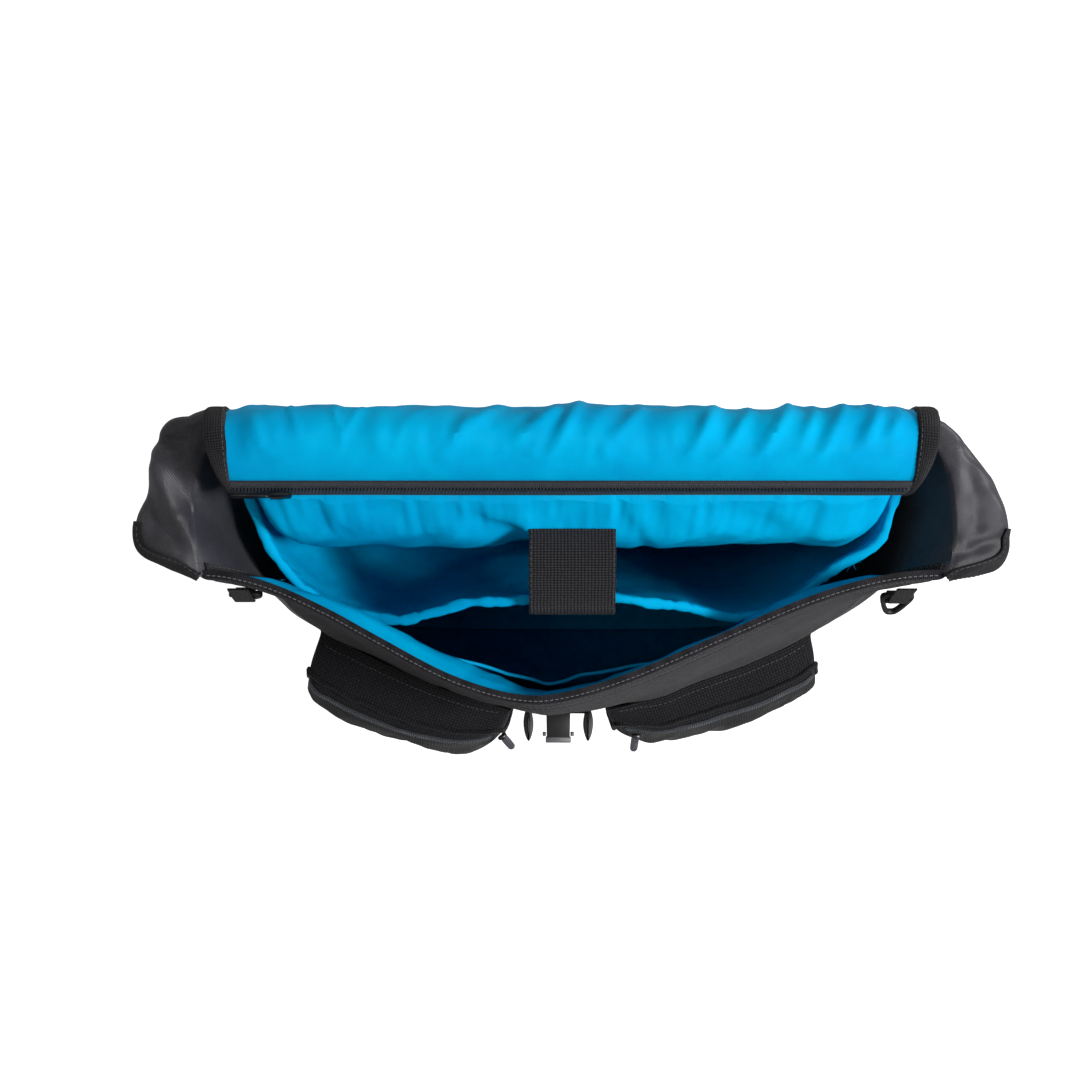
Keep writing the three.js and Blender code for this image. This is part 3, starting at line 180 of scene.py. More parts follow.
def centripetal(points: Array, per_span: int = 40) -> Array:
    """Points on the centripetal Catmull-Rom curve through points, by the Barry-Goldman pyramid."""
    p = np.concatenate([[2 * points[0] - points[1]], points, [2 * points[-1] - points[-2]]])
    spans = []
    for k in range(len(points) - 1):
        a, b, c, d = p[k : k + 4]
        ta = 0.0
        tb = ta + np.sqrt(np.linalg.norm(b - a))
        tc = tb + np.sqrt(np.linalg.norm(c - b))
        td = tc + np.sqrt(np.linalg.norm(d - c))
        t = np.linspace(tb, tc, per_span, endpoint=k == len(points) - 2)[:, None]
        ab = lerp(a, b, (t - ta) / (tb - ta))
        bc = lerp(b, c, (t - tb) / (tc - tb))
        cd = lerp(c, d, (t - tc) / (td - tc))
        abc, bcd = lerp(ab, bc, (t - ta) / (tc - ta)), lerp(bc, cd, (t - tb) / (td - tb))
        spans.append(lerp(abc, bcd, (t - tb) / (tc - tb)))
    return np.concatenate(spans)


def along(points: Array, shares: Array) -> Array:
    """Points at given shares of a polyline's length."""
    run = arc_length(points)
    return picked(points, run, shares * run[-1])


# ---------------- meshes


def quads(rows: int, columns: int, start: int = 0, around: bool = False) -> Array:
    """Faces of a grid of points in row order.

    Args:
        rows: number of rows.
        columns: number of columns.
        start: index of the first point.
        around: whether the last column joins the first.

    Returns:
        Four point indices for each face.
    """
    count = columns if around else columns - 1
    i, j = np.meshgrid(np.arange(rows - 1), np.arange(count), indexing="ij")
    k = (j + 1) % columns
    low, high = i * columns, (i + 1) * columns
    return start + np.stack([low + j, low + k, high + k, high + j], -1).reshape(-1, 4)


def capped(rows: int, columns: int) -> list[Array]:
    """Faces of a tube of rings that is closed by a flat face at each end."""
    ring = np.arange(columns)
    return [quads(rows, columns, 0, True), ring[None, ::-1], (ring + (rows - 1) * columns)[None]]


@dataclass
class Mesh:
    """Points in millimetres with their faces and their place on the cloth, also in millimetres."""

    points: Array
    faces: list[Array]
    cloth: Array

    def placed(self, origin: Array, across: Array, run: Array, up: Array) -> Mesh:
        """The mesh with its own x, y and z laid along three directions from an origin."""
        axes = np.stack([across, run, up]).astype(float)
        return Mesh(self.points @ axes + np.asarray(origin, float), self.faces, self.cloth)

    def joined(self, *others: Mesh) -> Mesh:
        """This mesh and others as one, each facing out."""
        meshes = [mesh.facing_out() for mesh in (self, *others)]
        starts = np.cumsum([0, *(len(m.points) for m in meshes[:-1])])
        faces = [f + s for m, s in zip(meshes, starts) for f in m.faces]
        points = np.concatenate([m.points for m in meshes])
        return Mesh(points, faces, np.concatenate([m.cloth for m in meshes]))

    def facing_out(self) -> Mesh:
        """The same mesh, turned if its volume comes out negative."""
        total = 0.0
        for f in self.faces:
            for k in range(1, f.shape[1] - 1):
                a, b, c = (self.points[f[:, n]] for n in (0, k, k + 1))
                total += np.einsum("ij,ij->", a, np.cross(b, c))
        turned = Mesh(self.points, [f[:, ::-1] for f in self.faces], self.cloth)
        return self if total >= 0 else turned

    def make(
        self, name: str, finish: Finish, slot: str, *nodes: str, sharp: float = 40
    ) -> bpy.types.Object:
        """Puts the mesh into the scene as a piece.

        Args:
            name: the piece's name.
            finish: its material.
            slot: name of a material slot; not used.
            nodes: the solids that it stands for.
            sharp: edges past this many degrees are shown sharp.

        Returns:
            The new object, which rides on the root body.
        """
        solid = self.facing_out()
        data = bpy.data.meshes.new(name)
        faces = [row for f in solid.faces for row in f.tolist()]
        data.from_pydata((solid.points * MM).tolist(), [], faces)
        layer = data.uv_layers.new(name="cloth")
        corners = np.empty(len(data.loops), np.int32)
        data.loops.foreach_get("vertex_index", corners)
        layer.data.foreach_set("uv", solid.cloth[corners].astype(np.float32).ravel())
        data.shade_smooth()
        data.set_sharp_from_angle(angle=np.radians(sharp))
        data.materials.append(finish.material())
        piece = bpy.data.objects.new(name, data)
        bpy.context.scene.collection.objects.link(piece)
        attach(piece, "root")
        if nodes:
            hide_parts(*nodes)
        area = sum(f.area for f in data.polygons) / 2
        LOG.info("%s: %d faces, %.4f m2 on one side", name, len(data.polygons), area)
        return piece


def merged(parts: Sequence[Mesh]) -> Mesh:
    """Several meshes as one."""
    return parts[0].joined(*parts[1:])


def cloth_places(grid: Array) -> Array:
    """Where each point of a grid lies on the flat cloth.

    Its first number is the running length along its row from the row's middle, its second the
    running length up its column.
    """
    across = arc_length(grid)
    up = arc_length(grid.swapaxes(0, 1)).T
    return np.stack([across - across[:, across.shape[1] // 2, None], up], -1)


def shell(outer: Array, inner: Array, around: bool = False) -> Mesh:
    """Closed cloth between two grids of points.

    Args:
        outer: grid of points of the outer face.
        inner: grid of points of the inner face, in the same order.
        around: whether the last column joins the first.

    Returns:
        A closed mesh: both faces and the strips that join their edges.
    """
    rows, columns = outer.shape[:2]
    size = rows * columns
    front = quads(rows, columns, 0, around)
    back = quads(rows, columns, size, around)[:, ::-1]
    ids = np.arange(size).reshape(rows, columns)

    def strip(edge: Array) -> Array:
        """Faces that join one edge of both grids."""
        edge = np.append(edge, edge[0]) if around else edge
        return np.stack([edge[1:], edge[:-1], edge[:-1] + size, edge[1:] + size], -1)

    faces = [front, back, strip(ids[0]), strip(ids[-1])[:, ::-1]]
    if not around:
        side = np.stack([ids[:-1], ids[1:]], 0)
        left, right = side[:, :, 0], side[:, :, -1]
        faces += [
            np.stack([left[0], left[1], left[1] + size, left[0] + size], -1),
            np.stack([right[1], right[0], right[0] + size, right[1] + size], -1),
        ]
    places = cloth_places(outer).reshape(-1, 2)
    points = np.concatenate([outer.reshape(-1, 3), inner.reshape(-1, 3)])
    return Mesh(points, faces, np.concatenate([places, places]))


def frames(path: Array, normals: Array) -> tuple[Array, Array, Array]:
    """Direction, normal and sideways vector at each point of a path, square to each other."""
    run = unit(np.gradient(path, axis=0))
    side = unit(np.cross(run, normals))
    return run, unit(np.cross(side, run)), side


def sweep(
    path: Array, normals: Array, profile: Array, scale: Array | None = None, closed: bool = False
) -> Mesh:
    """A profile carried along a path: point + side x + normal y, for each (x, y) of the profile.

    Args:
        path: points of the path.
        normals: the profile's upward direction at each point.
        profile: closed outline, one (x, y) a row.
        scale: size of the profile at each point of the path, as one or two numbers.
        closed: whether the path's end joins its start.

    Returns:
        A closed mesh, with flat ends where the path is open.
    """
    if closed:
        wrapped = np.concatenate([path[-1:], path, path[:1]])
        run = unit((wrapped[2:] - wrapped[:-2]) / 2)
        side = unit(np.cross(run, normals))
        up = unit(np.cross(side, run))
    else:
        _, up, side = frames(path, normals)
    scale = np.ones(len(path)) if scale is None else np.asarray(scale)
    size = np.broadcast_to(scale.reshape(len(path), -1), (len(path), 2))
    shape = profile[None] * size[:, None]
    rings = path[:, None] + side[:, None] * shape[..., :1] + up[:, None] * shape[..., 1:]
    n, m = rings.shape[:2]
    faces = capped(n, m)
    if closed:
        last, ids = (n - 1) * m, np.arange(m)
        after = (ids + 1) % m
        faces = [faces[0], np.stack([last + ids, last + after, after, ids], -1)]
    round_profile = arc_length(np.concatenate([profile, profile[:1]]))[:-1]
    run_length = arc_length(path)
    places = np.stack(np.broadcast_arrays(round_profile[None], run_length[:, None]), -1).reshape(-1, 2)
    return Mesh(rings.reshape(-1, 3), faces, places)


def oval(width: float, height: float, sides: int = 10, power: float = 2.0) -> Array:
    """Outline of a rounded bar: a superellipse |2x/width|^p + |2y/height|^p = 1."""
    t = np.linspace(0, 2 * np.pi, sides, endpoint=False)
    half = np.stack([np.cos(t), np.sin(t)], -1)
    return np.sign(half) * abs(half) ** (2 / power) * np.array([width, height]) / 2


def band(width: float, thickness: float, across: int = 9) -> Array:
    """Outline of a flat band with rounded edges, anticlockwise, with points along its width."""
    x = np.linspace(-0.5, 0.5, across) * (width - thickness)
    turn = np.linspace(-np.pi / 2, np.pi / 2, 5)[1:-1]
    r = thickness / 2
    right = np.stack([x[-1] + r * np.cos(turn), r * np.sin(turn)], -1)
    left = np.stack([x[0] - r * np.cos(turn), -r * np.sin(turn)], -1)
    low, high = np.stack([x, np.full_like(x, -r)], -1), np.stack([x[::-1], np.full_like(x, r)], -1)
    return np.concatenate([low, right, high, left])


@dataclass
class Line:
    """A line on a surface: its points and the surface's normals there."""

    points: Array
    normals: Array

    def even(self, spacing: float, margin: float = 0.0) -> Line:
        """The same line with its points a fixed distance apart, short of both ends by a margin."""
        run = arc_length(self.points)
        count = max(2, int(round((run[-1] - 2 * margin) / spacing)) + 1)
        at = np.linspace(margin, run[-1] - margin, count)
        return Line(picked(self.points, run, at), unit(picked(self.normals, run, at)))

    def raised(self, height: float) -> Line:
        """The same line, moved off its surface."""
        return Line(self.points + self.normals * height, self.normals)

    def rope(self, profile: Array, scale: Array | None = None) -> Mesh:
        """A profile carried along the line."""
        return sweep(self.points, self.normals, profile, scale)


def scattered(template: Mesh, line: Line) -> Mesh:
    """Copies of a small mesh at each point of a line: x sideways, y along it, z off the surface."""
    run, up, side = (axis[:, None] for axis in frames(line.points, line.normals))
    x, y, z = (template.points[:, k : k + 1] for k in range(3))
    placed = line.points[:, None] + side * x + run * y + up * z
    count, size = placed.shape[:2]
    starts = np.arange(count)[:, None, None] * size
    faces = [(f[None] + starts).reshape(-1, f.shape[1]) for f in template.faces]
    return Mesh(placed.reshape(-1, 3), faces, placed.reshape(-1, 3)[:, :2])


def ringed(rings: Array) -> Mesh:
    """A closed tube through rings of points, seen from above as its place on the cloth."""
    points = rings.reshape(-1, 3)
    return Mesh(points, capped(*rings.shape[:2]), points[:, :2])


def pill(length: float, width: float, height: float, sides: int = 6) -> Mesh:
    """A rounded bar along y: rings that narrow towards both ends."""
    steps = ((-0.5, 0.45), (-0.32, 1), (0.32, 1), (0.5, 0.45))
    x, z = oval(width, height, sides).T
    rings = np.stack([stack(x * s, y * length, z * s) for y, s in steps])
    return ringed(rings)


def trimmed(outline: Array, times: int = 2) -> Array:
    """A closed outline, its corners cut at a quarter and three quarters of each side, some times over."""
    for _ in range(times):
        after = np.roll(outline, -1, 0)
        pairs = np.stack([lerp(outline, after, 0.25), lerp(outline, after, 0.75)], 1)
        outline = pairs.reshape(-1, outline.shape[1])
    return outline


def prism(outline: Outline, low: float, high: float, bevel: float = 0.6, cuts: int = 1) -> Mesh:
    """An outline drawn up with its corners cut and its edges bevelled.

    Args:
        outline: corners, anticlockwise.
        low: height of the underside.
        high: height of the top.
        bevel: size of the bevel along the edges.
        cuts: how many times the corners are cut.

    Returns:
        A closed mesh.
    """
    flat = trimmed(np.asarray(outline, float), cuts)
    run = unit(np.roll(flat, -1, 0) - np.roll(flat, 1, 0))
    inward = np.stack([-run[:, 1], run[:, 0]], -1)
    steps = ((bevel, 0), (0.3 * bevel, 0.3 * bevel), (0, bevel))
    rings = [stack(*(flat + inward * inset).T, low + rise) for inset, rise in steps]
    rings += [stack(*(flat + inward * inset).T, high - rise) for inset, rise in steps[::-1]]
    return ringed(np.stack(rings))


def box(
    width: float, length: float, low: float, high: float, bevel: float = 0.6,
    centre: tuple[float, float] = (0, 0),
) -> Mesh:
    """A block with cut corners and bevelled edges, from low to high over a centre."""
    x, y = width / 2, length / 2
    corners = np.array([(-x, -y), (x, -y), (x, y), (-x, y)])
    cut = min(0.12 * min(width, length), 1.5)
    soft = []
    for k, corner in enumerate(corners):
        pair = [corner - cut * np.sign(corner) * way for way in ((0, 1), (1, 0))]
        soft += pair[::-1] if k % 2 else pair
    return prism(np.array(soft) + centre, low, high, bevel, 0)


@dataclass(frozen=True)
class Crease:
    """A straight fold of the cloth as seen from above.

    Its two ends, its half width, its height, and how much further than its second end it runs.
    """

    start: tuple[float, float]
    end: tuple[float, float]
    width: float
    height: float
    stretch: float


def crease_rows(*rows: tuple[float, ...], stretch: float = 1.0) -> list[Crease]:
    """Creases from rows of both ends' places, half width and height."""
    return [Crease(row[:2], row[2:4], *row[4:], stretch) for row in rows]


def creased(points: Array, creases: Sequence[Crease]) -> Array:
    """Height of all creases at points: each falls off as a bell of the distance to its line."""
    total = np.zeros(points.shape[:-1])
    for crease in creases:
        start = np.array(crease.start, float)
        run = (np.array(crease.end, float) - start) * crease.stretch
        share = np.clip((points[..., :2] - start) @ run / (run @ run), 0, 1)
        distance = np.linalg.norm(points[..., :2] - start - share[..., None] * run, axis=-1)
        total += crease.height * bell(distance, 0, crease.width) * (0.35 + 0.65 * bell(share, 0.5, 0.45))
    return total


@dataclass(frozen=True)
class Seam:
    """One way to sew: stitch length, spacing, margin at both ends, lift off the cloth, thread."""

    length: float
    spacing: float
    margin: float
    lift: float
    thread: float = 0.5

    def along(self, line: Line) -> Mesh:
        """A row of stitches that lies along a line."""
        stitch = pill(self.length, self.thread, self.thread * 0.8)
        return scattered(stitch, line.even(self.spacing, self.margin).raised(self.lift))


# ---------------- shader graphs


class Value:
    """A socket that holds a number, with Python's operators as Math nodes."""

    def __init__(self, graph: Graph, socket: bpy.types.NodeSocket) -> None:
        self.graph, self.socket = graph, socket

    def math(self, operation: str, *others: Value | float, swap: bool = False) -> Value:
        """One Math node on this value and others."""
        sides = [self, *others]
        sides = sides[::-1] if swap else sides
        node = self.graph.node("ShaderNodeMath", {"operation": operation}, dict(enumerate(sides)))
        return Value(self.graph, node.outputs[0])

    def __add__(self, other: Value | float) -> Value:
        """Sum."""
        return self.math("ADD", other)

    def __sub__(self, other: Value | float) -> Value:
        """Difference."""
        return self.math("SUBTRACT", other)

    def __rsub__(self, other: float) -> Value:
        """Difference from a number."""
        return self.math("SUBTRACT", other, swap=True)

    def __mul__(self, other: Value | float) -> Value:
        """Product."""
        return self.math("MULTIPLY", other)

    def __abs__(self) -> Value:
        """Size without sign."""
        return self.math("ABSOLUTE")

    __radd__ = __add__
    __rmul__ = __mul__

    def wave(self, pitch: float) -> Value:
        """Sine with a given pitch."""
        return (self * (2 * np.pi / pitch)).math("SINE")

    def within(self, low: float, high: float) -> Value:
        """0 below low, 1 above high, smooth between."""
        node = self.graph.node(
            "ShaderNodeMapRange",
            {"interpolation_type": "SMOOTHSTEP", "clamp": True},
            {"Value": self, "From Min": low, "From Max": high},
        )
        return Value(self.graph, node.outputs[0])


class Graph:
    """The node graph of one material, with its shader ready."""

    def __init__(self, name: str) -> None:
        self.made = bpy.data.materials.new(name)
        self.made.use_nodes = True
        self.tree = self.made.node_tree
        self.shader = next(n for n in self.tree.nodes if n.type == "BSDF_PRINCIPLED")

    def node(
        self, kind: str, settings: dict[str, object], inputs: dict[str | int, object]
    ) -> bpy.types.Node:
        """A node of a kind, its settings made first, then its sockets filled or linked.

        Args:
            kind: the node's type.
            settings: its options by name.
            inputs: numbers, colours, values or sockets by socket name or place.

        Returns:
            The node.
        """
        node = self.tree.nodes.new(kind)
        for key, value in settings.items():
            setattr(node, key, value)
        for key, value in inputs.items():
            self.put(node.inputs[key], value)
        return node

    def put(self, socket: bpy.types.NodeSocket, value: object) -> None:
        """Fills a socket with a number or colour, or links a value or a socket to it."""
        if isinstance(value, Value):
            self.tree.links.new(value.socket, socket)
        elif isinstance(value, bpy.types.NodeSocket):
            self.tree.links.new(value, socket)
        else:
            socket.default_value = value

    def cloth(self) -> tuple[Value, Value]:
        """The two running lengths on the cloth, in millimetres."""
        places = self.node("ShaderNodeUVMap", {"uv_map": "cloth"}, {})
        parts = self.node("ShaderNodeSeparateXYZ", {}, {0: places.outputs[0]})
        return Value(self, parts.outputs[0]), Value(self, parts.outputs[1])

    def spot(self) -> bpy.types.NodeSocket:
        """The place in the object, in metres."""
        return self.node("ShaderNodeTexCoord", {}, {}).outputs["Object"]

    def noise(self, scale: float, detail: float = 3) -> Value:
        """Noise from 0 to 1 on the object's place."""
        sockets = {"Vector": self.spot(), "Scale": scale, "Detail": detail}
        return Value(self, self.node("ShaderNodeTexNoise", {}, sockets).outputs[0])

    def mix(self, share: Value | float, first: object, second: object) -> bpy.types.NodeSocket:
        """Mix of two colours."""
        node = self.node("ShaderNodeMix", {"data_type": "RGBA"}, {0: share, 6: first, 7: second})
        return node.outputs[2]

    def bump(self, height: Value, distance: float, strength: float = 1.0) -> None:
        """Relief of a height in millimetres' shares, linked to the shader's normal."""
        sockets = {"Height": height, "Distance": distance * MM, "Strength": strength}
        self.put(self.shader.inputs["Normal"], self.node("ShaderNodeBump", {}, sockets).outputs[0])

    def set(self, **inputs: object) -> None:
        """Fills or links the shader's sockets; an underscore stands for a space."""
        for key, value in inputs.items():
            self.put(self.shader.inputs[key.replace("_", " ")], value)


Colour = tuple[float, float, float]


def opaque(colour: Colour) -> tuple[float, float, float, float]:
    """A colour with full alpha."""
    return (*colour, 1.0)


class Finish:
    """A material that is built once and shared."""

    made: dict[str, bpy.types.Material] = {}

    @property
    def label(self) -> str:
        """The material's name."""
        raise NotImplementedError

    def build(self, graph: Graph) -> None:
        """Fills the material's graph."""
        raise NotImplementedError

    def material(self) -> bpy.types.Material:
        """The material, made at its first use."""
        if self.label not in Finish.made:
            graph = Graph(self.label)
            self.build(graph)
            Finish.made[self.label] = graph.made
        return Finish.made[self.label]


@dataclass(frozen=True)
class Woven(Finish):
    """Matt plain weave of thick yarn, mottled where fibres catch the light."""

    label: str = "woven_charcoal"
    dark: Colour = (0.0045, 0.0042, 0.0055)
    light: Colour = (0.0225, 0.0212, 0.0275)
    pitch: float = 1.15

    def build(self, graph: Graph) -> None:
        """Yarns cross by the product of two sines; the crowns are lighter than the gaps."""
        u, v = graph.cloth()
        wobble = graph.noise(160, 2)
        warp = (u + wobble * 0.5).wave(self.pitch * 2)
        weft = (v + wobble * 0.5).wave(self.pitch * 2)
        crown = abs(warp * weft)
        over = (warp * weft).within(-0.4, 0.4)
        flecks = graph.noise(900, 3)
        patches = graph.noise(22, 4)
        tone = crown * 0.45 + flecks * 0.9 + patches * 0.3 + over * 0.1 - 0.52
        graph.set(Base_Color=graph.mix(tone.within(0.0, 1.0), opaque(self.dark), opaque(self.light)))
        graph.set(Roughness=0.86 - crown * 0.12, Specular_IOR_Level=0.18)
        graph.set(Sheen_Weight=0.06, Sheen_Roughness=0.4)
        graph.bump(crown + flecks * 0.5 + patches * 0.6, 0.35, 0.8)


@dataclass(frozen=True)
class Coated(Finish):
    """Coated twill with a soft sheen, lighter and shinier in cloudy worn patches."""

    label: str = "coated_twill"
    dark: Colour = (0.009, 0.009, 0.0115)
    light: Colour = (0.046, 0.045, 0.056)
    pitch: float = 0.9

    def build(self, graph: Graph) -> None:
        """Fine diagonal ribs, broken up by cloudy wear."""
        u, v = graph.cloth()
        rib = (u + v).wave(self.pitch)
        thread = (u - v).wave(self.pitch * 2)
        clouds = graph.noise(30, 4)
        specks = graph.noise(700, 2)
        tone = clouds * 0.7 + specks * 0.4 + rib * 0.08 + thread * 0.05
        graph.set(Base_Color=graph.mix(tone.within(0.25, 0.95), opaque(self.dark), opaque(self.light)))
        graph.set(Roughness=0.54 - clouds * 0.2, Sheen_Weight=0.05, Specular_IOR_Level=0.5)
        graph.bump(rib * 0.5 + thread * 0.25 + clouds * 1.5, 0.2, 0.7)


@dataclass(frozen=True)
class Satin(Finish):
    """Thin bright lining with a satin sheen and fine crumple."""

    label: str = "lining_blue"
    deep: Colour = (0.0, 0.225, 0.49)
    bright: Colour = (0.0, 0.405, 0.68)
    pitch: float = 0.55

    def build(self, graph: Graph) -> None:
        """A very fine square weave under a soft crumple; colour drifts slightly from place to place, and
        the crumple lightens it on its crests, a painted highlight with painted shade in its hollows.
        """
        u, v = graph.cloth()
        weave = u.wave(self.pitch) * v.wave(self.pitch)
        crumple = graph.noise(55, 5)
        drift = graph.noise(9, 3)
        # The crumple term in the tone is painted light: lighter on the bump's crests, darker in its
        # hollows.
        tone = drift * 0.6 + crumple * 0.25 + weave * 0.06 + 0.06
        graph.set(Base_Color=graph.mix(tone.within(0.15, 0.8), opaque(self.deep), opaque(self.bright)))
        graph.set(Roughness=0.5 - crumple * 0.16, Specular_IOR_Level=0.02)
        graph.bump(crumple * 2.4 + weave * 0.12, 0.8, 0.55)


@dataclass(frozen=True)
class Webbing(Finish):
    """Ribbed webbing or binding tape."""

    label: str = "webbing_black"
    dark: Colour = (0.003, 0.003, 0.0035)
    light: Colour = (0.022, 0.0215, 0.025)
    pitch: float = 1.9

    def build(self, graph: Graph) -> None:
        """Ribs across the band and fine yarns along it."""
        u, v = graph.cloth()
        rib = abs(v.wave(self.pitch * 2))
        yarn = abs(u.wave(self.pitch * 2.6))
        fuzz = graph.noise(600, 3)
        tone = rib * yarn * 0.55 + rib * 0.2 + fuzz * 0.45
        graph.set(Base_Color=graph.mix(tone.within(0.3, 1.15), opaque(self.dark), opaque(self.light)))
        graph.set(Roughness=0.78, Sheen_Weight=0.05, Specular_IOR_Level=0.2)
        graph.bump(rib * yarn + rib * 0.4 + fuzz * 0.3, 0.5, 0.9)


@dataclass(frozen=True)
class Moulded(Finish):
    """Moulded plastic with a fine grain, scuffed here and there."""

    label: str = "moulded_black"
    colour: Colour = (0.005, 0.005, 0.0058)
    scuffed: Colour = (0.014, 0.014, 0.016)
    roughness: float = 0.42
    metallic: float = 0.0

    def build(self, graph: Graph) -> None:
        """Base colour drifts to the scuffed one in cloudy patches; a fine grain roughens it."""
        clouds = graph.noise(70, 4)
        grain = graph.noise(1500, 2)
        graph.set(Base_Color=graph.mix(clouds.within(0.45, 0.8), opaque(self.colour), opaque(self.scuffed)))
        graph.set(Roughness=self.roughness + clouds * 0.15, Metallic=self.metallic)
        graph.bump(grain, 0.05, 0.5)


@dataclass(frozen=True)
class Thread(Finish):
    """Sewing thread with a twist."""

    label: str = "thread_pale"
    colour: Colour = (0.24, 0.24, 0.255)
    shade: Colour = (0.10, 0.10, 0.108)

    def build(self, graph: Graph) -> None:
        """Two tones of thread."""
        twist = graph.noise(1800, 2)
        graph.set(Base_Color=graph.mix(twist, opaque(self.shade), opaque(self.colour)), Roughness=0.6)
        graph.bump(twist, 0.1, 0.5)


WOVEN = Woven()
# The pocket cloth is the woven cloth with a coarser weave and darker colours; the darker colours are
# painted shade on the pockets.
SHADED_POCKET_CLOTH = Woven("woven_pocket_painted_shade", (0.0018, 0.0017, 0.0022), (0.020, 0.0192, 0.024), 1.9)
COATED = Coated()
LINING = Satin()
TAPE = Webbing("binding_tape", pitch=1.1)
EDGE_TAPE = Webbing("edge_tape", (0.0022, 0.0022, 0.0028), (0.020, 0.0195, 0.024), 1.0)
STRAP = Webbing("laptop_webbing", (0.0025, 0.0025, 0.003), (0.034, 0.033, 0.040), 1.5)
ZIP_TAPE = Webbing("zip_tape", (0.014, 0.017, 0.022), (0.070, 0.082, 0.10), 0.8)
PLASTIC = Moulded()
# The pale grey plastic is a painted reflection: it stands for light on the black buckle guide's glossy end.
PAINTED_GLINT_PLASTIC = Moulded("moulded_painted_glint", (0.09, 0.09, 0.095), (0.16, 0.16, 0.17))
RAIL = Moulded("rail_black", (0.012, 0.012, 0.013), (0.035, 0.035, 0.038))
TEETH = Moulded("zip_teeth", (0.035, 0.04, 0.05), (0.07, 0.08, 0.095), 0.3)
PALE_TEETH = Moulded("zip_teeth_pale", (0.09, 0.09, 0.10), (0.2, 0.2, 0.215), 0.35)
PULL = Moulded("zip_pull", (0.10, 0.10, 0.12), (0.26, 0.26, 0.30), 0.3, 0.6)
DARK_METAL = Moulded("zip_slider", (0.03, 0.03, 0.033), (0.12, 0.12, 0.13), 0.28, 0.9)
PALE_THREAD = Thread()
DARK_THREAD = Thread("thread_dark", (0.07, 0.07, 0.075), (0.02, 0.02, 0.022))
DULL_THREAD = Thread("thread_dull", (0.16, 0.155, 0.165), (0.07, 0.068, 0.075))
BLUE_THREAD = Thread("thread_blue", (0.0, 0.30, 0.60), (0.0, 0.16, 0.38))
FRAY_THREAD = Thread("thread_frayed", (0.10, 0.10, 0.11), (0.03, 0.03, 0.032))


# ---------------- body


class Hand(Enum):
    """The bag's left and right, each with its sign along X."""

    LEFT = -1
    RIGHT = 1

    @property
    def label(self) -> str:
        """The hand's name in the names of pieces."""
        return self.name.lower()


